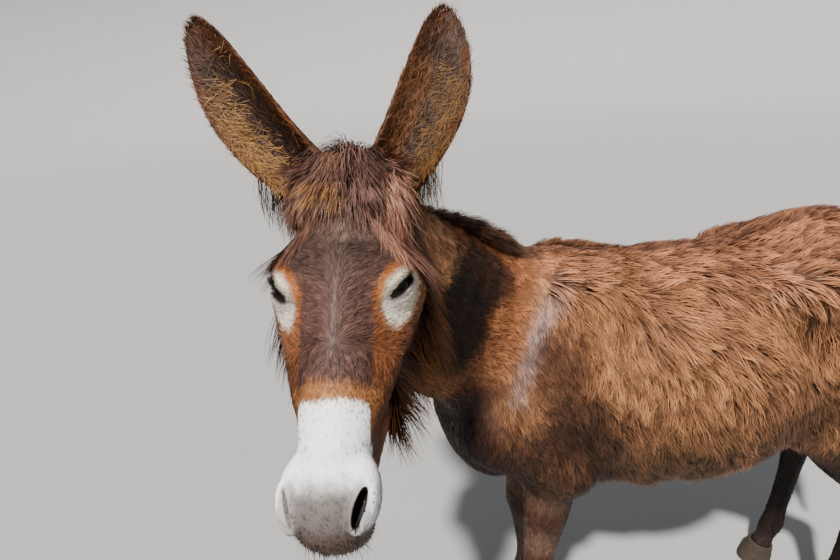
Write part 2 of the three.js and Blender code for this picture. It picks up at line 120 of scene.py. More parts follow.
CAMERA_AT = (1112, -415, 1576)
CAMERA_TURN = (174.4, -21.9, -4.1)     # degrees: heading from +X, pitch, roll
CAMERA_LENS = 24.0                     # mm
CAMERA_SENSOR = 36.0                   # mm across
SUN_FROM = (0.53, -0.25, 0.81)
SUN_SPREAD = 3.5                       # degrees across


def linear(hex_colour):
    """An sRGB hex colour as linear red, green and blue."""
    parts = [int(hex_colour[i:i + 2], 16) / 255 for i in (0, 2, 4)]
    return np.array([c / 12.92 if c <= 0.04045 else ((c + 0.055) / 1.055) ** 2.4 for c in parts])


# ---------------------------------------------------------------- vectors and curves
def unit(v):
    v = np.asarray(v, dtype=np.float64)
    return v / np.linalg.norm(v)


def units(v):
    return v / (np.linalg.norm(v, axis=-1, keepdims=True) + 1e-9)


def ramp(x, low, high):
    """0 below low, 1 above high, smooth between; low may be the larger."""
    t = np.clip((x - low) / (high - low), 0, 1)
    return t * t * (3 - 2 * t)


def mixed(a, b, share):
    """a where share is 0, b where it is 1, for rows of colours or directions."""
    return a + (b - a) * np.asarray(share)[..., None]


def columns(*values):
    """Directions from their three parts, any of which may be one number for all."""
    return np.stack(np.broadcast_arrays(*values), -1)


def fair(rows, steps):
    """A table of stations made finer by a smooth curve through its rows."""
    rows = np.asarray(rows, dtype=np.float64)
    out = []
    for i in range(len(rows) - 1):
        before, a, b = rows[max(i - 1, 0)], rows[i], rows[i + 1]
        after = rows[min(i + 2, len(rows) - 1)]
        for s in range(steps):
            t = s / steps
            bend = 2 * before - 5 * a + 4 * b - after
            twist = 3 * (a - b) + after - before
            out.append(a + 0.5 * t * (b - before + t * (bend + t * twist)))
    out.append(rows[-1])
    return np.array(out)


def mottle(p, size, seed):
    """Soft random patches about size mm across, from -1 to 1."""
    rng = np.random.default_rng(seed)
    total = np.zeros(len(p))
    for _ in range(9):
        wave = units(rng.normal(size=3)) * (2 * math.pi / size) * rng.uniform(0.6, 1.5)
        total += np.sin(p @ wave + rng.uniform(0, 2 * math.pi))
    return total / 4.0


# ---------------------------------------------------------------- forms as distance functions
def roundness(total, slope):
    k = np.sqrt(total) + 1e-6
    return k * (k - 1) / (np.sqrt(slope) + 1e-9)


def egg(at, radii):
    at, radii = np.array(at, np.float32), np.array(radii, np.float32)

    def form(p):
        q = (p - at) / radii
        return roundness((q * q).sum(-1), ((q / radii) ** 2).sum(-1))
    return form


def limb(a, b, size_a, size_b, side=(1, 0, 0)):
    """A tapered limb of oval section: half width along side, half depth across it."""
    a, b, side = (np.array(v, np.float32) for v in (a, b, side))
    run = b - a
    length2 = float(run @ run)

    def form(p):
        q = p - a
        t = np.clip((q @ run) / length2, 0, 1)
        off = q - t[..., None] * run
        across = off @ side
        rest2 = np.maximum((off * off).sum(-1) - across * across, 0)
        w = size_a[0] + (size_b[0] - size_a[0]) * t
        d = size_a[1] + (size_b[1] - size_a[1]) * t
        s = across / w
        return roundness(s * s + rest2 / (d * d), (s / w) ** 2 + rest2 / d ** 4)
    return form


def column(rows):
    """An upright limb: rows of height, middle x, middle y, half width, half depth."""
    table = fair(rows, 6)[::-1]

    def form(p):
        z = p[..., 2]
        x, y, w, d = (np.interp(z, table[:, 0], table[:, c]) for c in (1, 2, 3, 4))
        a, b = (p[..., 0] - x) / w, (p[..., 1] - y) / d
        return roundness(a * a + b * b, (a / w) ** 2 + (b / d) ** 2)
    return form


def sweep(rows):
    """A limb along a bent line: rows of x, y, z, half width, half depth."""
    fine = fair(rows, 3)
    parts = []
    for a, b in zip(fine[:-1], fine[1:]):
        side = unit(np.cross(b[:3] - a[:3], (0, 0, -1)))
        parts.append(limb(a[:3], b[:3], a[3:], b[3:], side))
    return lambda p: np.minimum.reduce([part(p) for part in parts])


def soften(a, b, k):
    h = np.maximum(k - np.abs(a - b), 0) / k
    return np.minimum(a, b) - h * h * k / 4


def carve(a, b, k):
    """Form a with form b taken out of it."""
    return -soften(-a, b, k)


def melt(first, *others):
    def form(p):
        d = first(p)
        for other, k in others:
            d = soften(d, other(p), k)
        return d
    return form


def mirrored(p):
    q = np.array(p)
    q[..., 0] = np.abs(q[..., 0])
    return q


# ---------------------------------------------------------------- head, in its own frame
# Sideways to the animal's left, down the face, and out of the forehead; the poll is the origin.
def head_axes():
    down = unit(FACE_LINE)
    out = unit(np.array([0, 0, 1]) - down * down[2])
    return np.array([np.cross(out, down), down, out])


HEAD_AXES = head_axes()


def to_head(p):
    return (((p - np.array(POLL)) @ HEAD_AXES.T) / HEAD_SCALE).astype(np.float32)


def turn_from_head(q):
    return np.asarray(q, dtype=np.float64) @ HEAD_AXES


def from_head(q):
    return np.array(POLL) + turn_from_head(q) * HEAD_SCALE


half_skull = melt(
    egg((0, 66, -62), (64, 92, 66)),                                    # brain case
    (egg((0, 165, -50), (80, 98, 50)), 30),                             # forehead
    (egg((66, 188, -44), (32, 46, 32)), 25),                            # brow over the eye
    (limb((86, 192, -70), (46, 335, -66), (17, 17), (8, 8)), 25),       # cheek bone
    (limb((0, 170, -46), (0, 400, -40), (56, 44), (34, 38)), 30),       # bridge of the nose
    (limb((36, 230, -88), (15, 415, -66), (42, 52), (24, 38)), 30),     # upper jaw
    (egg((0, 458, -60), (52, 50, 54)), 20),                             # muzzle
    (egg((38, 450, -44), (22, 40, 28)), 15),                            # nostril wing
    (egg((0, 486, -78), (44, 28, 34)), 15),                             # upper lip
    (egg((0, 452, -120), (34, 46, 27)), 12),                            # chin
    (limb((54, 140, -192), (22, 400, -124), (40, 44), (22, 28)), 30),   # lower jaw
    (egg((62, 168, -142), (42, 112, 92)), 30),                          # cheek
    (egg((0, 60, -130), (60, 75, 85)), 40),                             # throat latch
    (limb((0, 110, -160), (0, 330, -118), (44, 66), (26, 30)), 40),     # floor of the mouth
)

# The eye's own directions: out of the socket, and from the tear duct to the far corner.
EYE_OUT = unit((0.62, 0.10, 0.78))
EYE_SLIT = unit((0.522, -0.797, -0.313))
EYE_BACK = np.cross(EYE_OUT, EYE_SLIT)
LID_RADIUS = 23.2


def face_coat(q):
    """Depth of the coat over the face, in the head's own measure."""
    s, o = q[..., 1], q[..., 2]
    poll_hair = 6 * ramp(s, 150, 60)
    jaw_hair = 7 * ramp(o, -70, -150) * ramp(s, 380, 250)
    return 1.4 + poll_hair + jaw_hair


def fold(q, angle, width, depth, reach):
    """A crease over the eyeball, at an angle round from the slit."""
    r = q - np.array(EYE_PLACE, np.float32)
    out, back, along = r @ EYE_OUT, r @ EYE_BACK, r @ EYE_SLIT
    turn = np.arctan2(back, np.maximum(out, 1))
    near = np.exp(-((np.linalg.norm(r, axis=-1) - LID_RADIUS) / 9) ** 2)
    return depth * near * np.exp(-((turn - angle) / width) ** 2 - (along / reach) ** 2)


OPENING = (23, 5.2)       # half length and half width of the gap between the lids
OPENING_AT = 2


def eye_opening(q):
    """The gap between the half-closed lids, with the tear duct at its lower end."""
    r = q - np.array(EYE_PLACE, np.float32)
    along, back, out = r @ EYE_SLIT, r @ EYE_BACK, r @ EYE_OUT
    turned = np.stack([along, back, out], -1)
    gap = egg((OPENING_AT, 1.0, 19), (*OPENING, 15))(turned)
    duct = limb((-16, 0.5, 22), (-33, 0.5, 17), (3.2, 4), (1.4, 2))(turned)
    return soften(gap, duct, 4)


NOSTRIL_SLOT = (6.2, 22, 15)


def nostril(q, radii, sink):
    """A slanting slot in the side of the muzzle, its upper end the further out."""
    slant = math.radians(16)
    x, s, o = (q[..., i] - NOSTRIL_PLACE[i] for i in range(3))
    across = x * math.cos(slant) + s * math.sin(slant)
    along = s * math.cos(slant) - x * math.sin(slant)
    return egg((0, 0, 0), radii)(np.stack([across, along, o + sink], -1))


LIP_LINE = [(0, 511, -104), (22, 503, -103), (36, 478, -101), (39, 442, -99), (33, 414, -96)]


def nostril_slot(q):
    """The open slot; the right nostril is drawn in to a narrow line."""
    return nostril(mirrored(q), NOSTRIL_SLOT, 0) + 4.8 * ramp(q[..., 0], 10, -10)


def lip_groove(q):
    parts = [limb(a, b, (2.6, 2.6), (2.6, 2.6)) for a, b in zip(LIP_LINE[:-1], LIP_LINE[1:])]
    return np.minimum.reduce([part(q) for part in parts])


def head_skin(p):
    q = mirrored(to_head(p))
    d = half_skull(q) + face_coat(q)
    d = soften(d, egg((48, 40, -34), (34, 36, 30))(q) + 5, 30)              # root of the ear
    d = soften(d, egg(EYE_PLACE, (LID_RADIUS,) * 3)(q), 9)
    d = d + fold(q, -0.72, 0.13, 1.8, 20) + fold(q, -1.05, 0.12, 1.2, 22)
    d = d + fold(q, 0.62, 0.12, 1.3, 18) + fold(q, 0.95, 0.13, 0.9, 18)
    d = carve(d, eye_opening(q), 1.5)
    d = soften(d, nostril(q, (14, 29, 13), 4), 9)
    d = carve(d, nostril_slot(to_head(p)), 3)
    d = carve(d, lip_groove(q), 4)
    return d * HEAD_SCALE


# ---------------------------------------------------------------- trunk, neck, legs and tail
NECK_LINE = [
    (0, -10, 950, 125, 212),
    (36, -160, 1018, 110, 196),
    (108, -275, 1106, 92, 182),
    (178, -350, 1224, 76, 128),
    (236, -393, 1316, 68, 100),
]
neck_form = sweep(NECK_LINE)

half_trunk = melt(
    egg((0, 80, 865), (205, 330, 262)),                                   # rib cage
    (egg((0, 310, 838), (258, 340, 285)), 80),                            # belly
    (limb((0, -20, 1055), (0, 520, 1060), (110, 80), (120, 90)), 80),     # back
    (limb((0, -60, 1060), (0, 110, 1075), (55, 78), (60, 72)), 60),       # withers
    (egg((0, 620, 1010), (175, 235, 195)), 80),                           # croup
    (egg((138, 490, 1070), (60, 85, 60)), 80),                            # point of the hip
    (egg((118, 650, 860), (105, 190, 260)), 70),                          # thigh
    (egg((85, 770, 930), (80, 90, 120)), 60),                             # buttock
    (limb((80, 20, 1060), (140, -170, 820), (60, 105), (65, 95)), 60),    # shoulder
    (limb((140, -165, 815), (150, -30, 700), (75, 85), (65, 80)), 50),    # upper arm
    (egg((0, -156, 826), (165, 155, 195)), 70),                           # breast
    (limb((0, -170, 710), (0, 160, 660), (120, 80), (150, 80)), 70),      # brisket
)

TAIL_LINE = [
    (0, 790, 1060, 40, 36),
    (2, 862, 1000, 31, 29),
    (4, 896, 900, 25, 24),
    (8, 908, 790, 20, 20),
    (12, 908, 690, 17, 17),
]
tail_form = sweep(TAIL_LINE)

# Rows of height, sideways place, place along the body, half width, half depth.
FORELEG = [
    (720, 135, -50, 62, 85),
    (640, 131, -54, 53, 72),
    (560, 128, -60, 45, 59),
    (480, 124, -68, 38, 47),
    (425, 121, -74, 37, 42),
    (378, 119, -77, 39, 42),
    (330, 117, -76, 31, 34),
    (280, 115, -73, 26, 30),
    (200, 114, -70, 25, 28),
    (150, 114, -72, 28, 31),
    (118, 113, -78, 31, 35),
    (86, 113, -89, 28, 30),
    (54, 112, -102, 32, 36),
]
HINDLEG = [
    (760, 138, 604, 66, 118),
    (680, 136, 632, 66, 102),
    (600, 130, 682, 56, 83),
    (530, 123, 738, 44, 66),
    (470, 118, 792, 38, 57),
    (415, 115, 806, 33, 46),
    (350, 113, 803, 29, 36),
    (260, 112, 796, 27, 32),
    (175, 111, 788, 28, 32),
    (125, 111, 783, 32, 37),
    (88, 110, 771, 28, 31),
    (54, 110, 758, 32, 35),
]
HIP_HEIGHT = 900          # the legs swing from here for their stride
LEGS = [
    ("fore_left", 1, FORELEG, 0),
    ("fore_right", -1, FORELEG, 45),
    ("hind_left", 1, HINDLEG, 0),
    ("hind_right", -1, HINDLEG, -20),
]


def standing(sign, rows, stride):
    """A leg's rows with its side and its stride put in."""
    swing = stride / HIP_HEIGHT
    return [(z, sign * x, y + swing * (HIP_HEIGHT - z), w, d) for z, x, y, w, d in rows]


LEG_ROWS = {name: standing(sign, rows, stride) for name, sign, rows, stride in LEGS}


def leg_skin(rows):
    """A leg from inside the trunk to its coronet, where the hoof begins."""
    shaft = column(rows)
    top = rows[0][0] + 10
    _, _, ankle_y, _, _ = rows[-1]

    def form(p):
        depth = LEG_COAT + 8 * ramp(p[..., 2], 520, 700)
        d = shaft(p) + depth
        d = carve(d, top - p[..., 2], 30)
        hair_line = CORONET + 1 - CORONET_SLOPE * (p[..., 1] - ankle_y)
        return carve(d, p[..., 2] - hair_line, 1)
    return form


LEG_FORMS = [leg_skin(rows) for rows in LEG_ROWS.values()]


# ---------------------------------------------------------------- the skin as one form
def part_forms(p):
    """Distance to each part of the skin: trunk, neck, head, four legs, tail."""
    return [
        half_trunk(mirrored(p)) + TRUNK_COAT,
        neck_form(p) + NECK_COAT,
        head_skin(p),
        *(leg(p) for leg in LEG_FORMS),
        tail_form(p) + TAIL_COAT,
    ]


(TRUNK, NECK, HEAD, FORE_LEFT, FORE_RIGHT, HIND_LEFT, HIND_RIGHT, TAIL, EAR_LEFT,
 EAR_RIGHT) = range(10)
LEG_PARTS = (FORE_LEFT, FORE_RIGHT, HIND_LEFT, HIND_RIGHT)


def skin_form(p):
    p = np.asarray(p, dtype=np.float32)
    trunk, neck, head, *legs, tail = part_forms(p)
    d = soften(trunk, neck, 60)
    for leg in legs:
        d = soften(d, leg, 35)
    d = soften(d, tail, 25)
    return soften(d, head, 40)


def slope(form, p, step=0.4):
    """Direction in which the form grows, with its size."""
    offsets = np.array([(1, -1, -1), (-1, -1, 1), (-1, 1, -1), (1, 1, 1)], np.float64)
    return sum(o * form(p + o * step)[:, None] for o in offsets) / (4 * step)


# ---------------------------------------------------------------- netting the skin
def sampled(form, low, cells, step, block=4):
    """The form on a grid, worked out only in the blocks near its surface."""
    coarse = [np.arange(c) for c in cells]
    centre = np.stack(np.meshgrid(*coarse, indexing="ij"), -1) * block + block / 2
    rough = form((low + centre * step).reshape(-1, 3)).reshape(cells)
    field = np.repeat(np.repeat(np.repeat(np.sign(rough), block, 0), block, 1), block, 2) * 1e3
    near = np.argwhere(np.abs(rough) < block * step * 0.87 + 34)
    inner = np.stack(np.meshgrid(*[np.arange(block)] * 3, indexing="ij"), -1).reshape(-1, 3)
    cells_near = (near[:, None] * block + inner[None]).reshape(-1, 3)
    values = form(low + cells_near * step)
    field[tuple(cells_near.T)] = values
    return field


def net(field, low, step):
    """A mesh of quads over the zero level of a grid."""
    inside = field < 0
    shape = np.array(field.shape) - 1
    corners = [(i, j, k) for i in (0, 1) for j in (0, 1) for k in (0, 1)]

    def corner(a, c):
        return a[tuple(slice(o, o + n) for o, n in zip(c, shape))]
    count = sum(corner(inside, c).astype(np.int8) for c in corners)
    cells = np.argwhere((count > 0) & (count < 8))
    number = np.full(shape, -1, dtype=np.int64)
    number[tuple(cells.T)] = np.arange(len(cells))
    total = np.zeros((len(cells), 3))
    hits = np.zeros(len(cells))
    for a in corners:
        for axis in range(3):
            if a[axis]:
                continue
            b = tuple(1 if i == axis else v for i, v in enumerate(a))
            fa = field[tuple((cells + a).T)]
            fb = field[tuple((cells + b).T)]
            cut = (fa < 0) != (fb < 0)
            t = np.where(cut, fa / np.where(cut, fa - fb, 1), 0)
            point = np.tile(np.array(a, float), (len(cells), 1))
            point[:, axis] += t
            total += point * cut[:, None]
            hits += cut
    points = low + (cells + total / hits[:, None]) * step
    quads = []
    for axis in range(3):
        u, v = [i for i in range(3) if i != axis]
        lower = [slice(1, n) for n in shape]
        lower[axis] = slice(0, shape[axis])
        upper = list(lower)
        upper[axis] = slice(1, shape[axis] + 1)
        first, second = inside[tuple(lower)], inside[tuple(upper)]
        at = np.argwhere(first != second)
        goes_out = first[tuple(at.T)]
        at = at + [0 if i == axis else 1 for i in range(3)]
        du, dv = np.eye(3, dtype=int)[u], np.eye(3, dtype=int)[v]
        ring = [at - du - dv, at - dv, at, at - du]
        quad = np.stack([number[tuple(r.T)] for r in ring], -1)
        flip = goes_out if axis != 1 else ~goes_out
        quads.append(np.where(flip[:, None], quad, quad[:, ::-1]))
    return points, np.concatenate(quads)


def split_long_edges(points, faces, longest):
    """Cuts every edge longer than allowed at its middle, once."""
    edges = np.sort(faces[:, [[0, 1], [1, 2], [2, 0]]].reshape(-1, 2), axis=1)
    edges, back = np.unique(edges, axis=0, return_inverse=True)
    back = back.reshape(-1, 3)
    middle = points[edges].mean(1)
    size = np.linalg.norm(points[edges[:, 0]] - points[edges[:, 1]], axis=1)
    cut = size > longest(middle)
    fresh = np.full(len(edges), -1)
    fresh[cut] = len(points) + np.arange(cut.sum())
    mids = fresh[back]
    code = (mids >= 0) @ np.array([1, 2, 4])
    out = [faces[code == 0]]
    for turn in range(3):
        f, m = np.roll(faces, -turn, axis=1), np.roll(mids, -turn, axis=1)
        code = (m >= 0) @ np.array([1, 2, 4])
        one = code == 1
        out.append(np.stack([f[one, 0], m[one, 0], f[one, 2]], 1))
        out.append(np.stack([m[one, 0], f[one, 1], f[one, 2]], 1))
        two = code == 3
        out.append(np.stack([m[two, 0], f[two, 1], m[two, 1]], 1))
        out.append(np.stack([f[two, 0], m[two, 0], f[two, 2]], 1))
        out.append(np.stack([m[two, 0], m[two, 1], f[two, 2]], 1))
    full = (mids >= 0).all(1)
    f, m = faces[full], mids[full]
    for corner in range(3):
        out.append(np.stack([f[:, corner], m[:, corner], m[:, corner - 1]], 1))
    out.append(m)
    return np.concatenate([points, middle[cut]]), np.concatenate(out)


def allowed_edge(p):
    """How long an edge may be at a place: short on the face, shorter round its openings."""
    q = mirrored(to_head(p))
    on_face = half_skull(q) < 25
    eye = np.linalg.norm(q - np.array(EYE_PLACE), axis=1) < 38
    nose = np.linalg.norm((q - np.array(NOSTRIL_PLACE)) * (1, 0.7, 1), axis=1) < 30
    lips = (q[:, 2] < -88) & (q[:, 2] > -116) & (q[:, 1] > 398)
    size = np.where(on_face, FACE_EDGE, 3 * NET_STEP)
    return np.where(on_face & (eye | nose | lips), FINE_EDGE, size)


def settle(points):
    """Slides points on to the skin."""
    way = slope(skin_form, points)
    size2 = np.maximum((way * way).sum(1), 0.15)
    return points - way * np.clip(skin_form(points) / size2, -4, 4)[:, None]


# ---------------------------------------------------------------- faces between rings of points
def in_triangles(quads):
    return np.concatenate([quads[:, :3], quads[:, [0, 2, 3]]])


def turned_over(faces):
    """The same faces seen from the other side, each starting at the same corner."""
    return np.concatenate([faces[:, :1], faces[:, :0:-1]], axis=1)


def ring_net(rings, sides):
    """Quads between rings whose points are numbered one ring after another."""
    row, i = np.meshgrid(np.arange(rings - 1), np.arange(sides), indexing="ij")
    a, b = row * sides + i, row * sides + (i + 1) % sides
    return np.stack([a, b, b + sides, a + sides], -1).reshape(-1, 4)


def fan(hub, start, sides):
    """Triangles from a hub to the ring whose points are numbered from start."""
    i = np.arange(sides)
    return np.stack([np.full(sides, hub), start + i, start + (i + 1) % sides], -1)


def closed_tube(rings):
    """A tube closed at both ends, facing out: points and triangles."""
    count, sides = rings.shape[:2]
    hub = count * sides
    points = np.concatenate([rings.reshape(-1, 3), rings[:1].mean(1), rings[-1:].mean(1)])
    faces = np.concatenate([in_triangles(ring_net(count, sides)),
                            turned_over(fan(hub, 0, sides)), fan(hub + 1, hub - sides, sides)])
    a, b, c = (points[faces[:, k]] - points.mean(0) for k in range(3))
    return points, faces[:, ::-1] if (a * np.cross(b, c)).sum() < 0 else faces


def face_lists(quads, triangles):
    """Corner numbers of the faces one after another, and the corner count of each."""
    counts = np.repeat((4, 3), (len(quads), len(triangles)))
    return np.concatenate([quads.ravel(), triangles.ravel()]), counts


# ---------------------------------------------------------------- ears
# Rows of place along the ear, half width, depth of the hollow, thickness of the shell.
EAR_LEAF = fair([
    (-0.16, 30, 44, 20),
    (0, 40, 46, 18),
    (0.2, 50, 38, 15),
    (0.45, 55, 29, 12),
    (0.66, 51, 22, 10),
    (0.82, 41, 15, 8),
    (0.93, 27, 9, 6.5),
    (1, 10, 4, 5),
], 3)
# Root, direction to the tip and direction it opens, in the head's frame, and its side.
EARS = {
    EAR_LEFT: ((60, 30, -30), (0.286, -0.947, 0.137), (0.184, 0.421, 0.863), 1),
    EAR_RIGHT: ((-60, 30, -30), (-0.564, -0.756, 0.324), (-0.308, 0.496, 0.855), -1),
}
EAR_RINGS = 64
EAR_ARC = 26
LEAST_SHELL = 0.9         # half thickness at the rims


def ear_frame(ear):
    """Root, direction to the tip, direction it opens, direction across, and which way is out."""
    root, along, opens, out = EARS[ear]
    along = unit(turn_from_head(along))
    opens = turn_from_head(opens)
    opens = unit(opens - along * (opens @ along))
    across = np.cross(along, opens)
    return from_head(root), along, opens, across, np.sign(out * (across @ HEAD_AXES[0]))


def ear_point(ear, t, swing_share, depth_share):
    """A place on an ear: along it, across it from rim to rim, and from its back to its hollow."""
    root, along, opens, across, out = ear_frame(ear)
    width, depth, shell = (np.interp(t, EAR_LEAF[:, 0], EAR_LEAF[:, c]) for c in (1, 2, 3))
    inner = np.clip(t, 0, 1)
    bow = 4 * EAR_BOW * inner * (1 - inner) * out
    radius = (width ** 2 + depth ** 2) / (2 * depth)
    swing = np.arctan2(width, radius - depth) * swing_share
    thin = 1 - 0.6 * np.abs(swing_share) ** 3
    half = np.maximum(shell * thin / 2 - EAR_COAT, LEAST_SHELL)
    r = radius + half * (1 - 2 * depth_share)
    middle = root + along * (EAR_LENGTH * t)[..., None] + across * bow[..., None]
    centre = middle + opens * (radius - depth)[..., None]
    return centre - opens * (r * np.cos(swing))[..., None] + across * (r * np.sin(swing))[..., None]


def ear_mesh(ear):
    """One ear as a curved shell, closed at both ends: points, triangles and inside flags."""
    t = np.linspace(-0.13, 0.992, EAR_RINGS)
    share = np.linspace(-1, 1, EAR_ARC)
    back = ear_point(ear, *np.broadcast_arrays(t[:, None], share[None], 0.0))
    hollow = ear_point(ear, *np.broadcast_arrays(t[:, None], share[None, ::-1], 1.0))
    rings = np.concatenate([back, hollow], axis=1)
    points, faces = closed_tube(rings)
    inside = (faces.min(1) % rings.shape[1] >= EAR_ARC) & (faces.max(1) < rings[..., 0].size)
    return points, faces, inside


# ---------------------------------------------------------------- the whole skin
SKIN_LOW = np.array([-300.0, -720.0, 36.0])
SKIN_HIGH = np.array([660.0, 976.0, 1508.0])


def normals_of(points, faces):
    """Normals at the corners, and twice the area of each face."""
    a, b, c = (points[faces[:, k]] for k in range(3))
    across = np.cross(b - a, c - a)
    total = np.zeros_like(points)
    for k in range(3):
        for axis in range(3):
            total[:, axis] += np.bincount(faces[:, k], across[:, axis], len(points))
    return units(total), np.linalg.norm(across, axis=1)


@functools.lru_cache(maxsize=1)
def skin():
    """Points and their normals; and of each triangle its corners, middle, size, part and whether
    it lies inside an ear."""
    block = 4
    cells = np.ceil((SKIN_HIGH - SKIN_LOW) / (NET_STEP * block)).astype(int)
    field = sampled(skin_form, SKIN_LOW, cells, NET_STEP, block)
    points, quads = net(field, SKIN_LOW, NET_STEP)
    points = settle(points)
    faces = in_triangles(quads)
    for _ in range(3):
        points, faces = split_long_edges(points, faces, allowed_edge)
        points = settle(points)
    points = settle(points)
    middle = points[faces].mean(1)
    part = np.argmin(np.stack(part_forms(middle.astype(np.float32))), axis=0)
    inside = np.zeros(len(faces), bool)
    for ear in EARS:
        more, ear_faces, hollow = ear_mesh(ear)
        faces = np.concatenate([faces, ear_faces + len(points)])
        points = np.concatenate([points, more])
        part = np.concatenate([part, np.full(len(ear_faces), ear)])
        inside = np.concatenate([inside, hollow])
    normals, sizes = normals_of(points, faces)
    return types.SimpleNamespace(points=points, normals=normals, faces=faces, sizes=sizes,
                                 middle=points[faces].mean(1), part=part, inside=inside)


# ---------------------------------------------------------------- unwrap of the skin
def part_axes():
    """For each part: the ends of its middle line and the side where its unwrap is centred."""
    axes = {
        TRUNK: ((0, -340, 900), (0, 810, 900), (0, 0, 1)),
        NECK: ((10, -120, 1010), (236, -393, 1350), (-0.2, 0.3, 1)),
        HEAD: (from_head((0, -30, -90)), from_head((0, 515, -60)), HEAD_AXES[2]),
        TAIL: ((0, 770, 1080), (12, 908, 680), (0, 1, 0)),
    }
    for part, rows in zip(LEG_PARTS, LEG_ROWS.values()):
        (z0, x0, y0, _, _), (z1, x1, y1, _, _) = rows[0], rows[-1]
        axes[part] = ((x0, y0, z0), (x1, y1, z1), (0, -1, 0))
    for ear in EARS:
        root, along, opens, _, _ = ear_frame(ear)
        axes[ear] = (root, root + along * EAR_LENGTH, -opens)
    return axes


PART_AXES = part_axes()


def unwrap(part, p):
    """Unrolls a part round its middle line: how far along it, and how far round, -0.5 to 0.5."""
    start, end, front = (np.asarray(v, float) for v in PART_AXES[part])
    along = unit(end - start)
    front = unit(front - along * (front @ along))
    q = p - start
    return (q @ along) / np.linalg.norm(end - start), np.arctan2(
        q @ np.cross(along, front), q @ front) / (2 * math.pi)


# Each part's share of the skin's unwrap: corner and size.
ATLAS = {
    HEAD: (0.0, 0.0, 0.6, 0.5),
    TRUNK: (0.0, 0.5, 0.6, 0.5),
    NECK: (0.6, 0.0, 0.4, 0.3),
    FORE_LEFT: (0.6, 0.3, 0.2, 0.17),
    FORE_RIGHT: (0.8, 0.3, 0.2, 0.17),
    HIND_LEFT: (0.6, 0.47, 0.2, 0.17),
    HIND_RIGHT: (0.8, 0.47, 0.2, 0.17),
    TAIL: (0.6, 0.64, 0.2, 0.12),
    EAR_LEFT: (0.6, 0.76, 0.4, 0.12),
    EAR_RIGHT: (0.6, 0.88, 0.4, 0.12),
}


def skin_unwrap():
    """The skin's unwrap, corner by corner."""
    body = skin()
    uv = np.zeros((len(body.faces), 3, 2))
    for one, (left, low, width, height) in ATLAS.items():
        mine = body.part == one
        corners = body.points[body.faces[mine]]
        along, turn = unwrap(one, corners)
        _, middle = unwrap(one, corners.mean(1))
        turn = turn - middle[:, None]
        turn = middle[:, None] + turn - np.round(turn)
        across = np.clip(turn + 0.5, 0, 1)
        if one in EARS:
            across = across / 2 + 0.5 * body.inside[mine][:, None]
        uv[mine, :, 0] = left + width * (0.02 + 0.96 * across)
        low_end, high_end = along.min(), along.max()
        uv[mine, :, 1] = low + height * (0.02 + 0.96 * (along - low_end) / (high_end - low_end))
    return uv.reshape(-1, 2)


# ---------------------------------------------------------------- markings
# Where the marks lie, in the frame of the solids, mm.
NECK_PATCH = ((152, -200, 1186), (76, 96, 74))
WORN_STREAK = [(126, -57, 1122), (156, -105, 1036), (187, -145, 929)]
WHORL = 284               # down the face, where the hair parts
WHITE_MUZZLE = 352        # down the face, where the white begins


def near_line(p, line):
    """Distance to a bent line."""
    best = np.full(len(p), 1e9)
    for a, b in zip(line[:-1], line[1:]):
        a, b = np.asarray(a, float), np.asarray(b, float)
        t = np.clip(((p - a) @ (b - a)) / ((b - a) @ (b - a)), 0, 1)
        best = np.minimum(best, np.linalg.norm(p - a - t[:, None] * (b - a), axis=1))
    return best


def blob(p, at, radii):
    """1 in the middle of a soft patch, 0 outside it."""
    return ramp((((p - np.array(at)) / radii) ** 2).sum(1), 1.5, 0.5)


def painted(colours, layers):
    """Colours with layers laid over them, each a hex colour and the share it covers."""
    for hex_colour, share in layers:
        colours = mixed(colours, linear(hex_colour), share)
    return colours


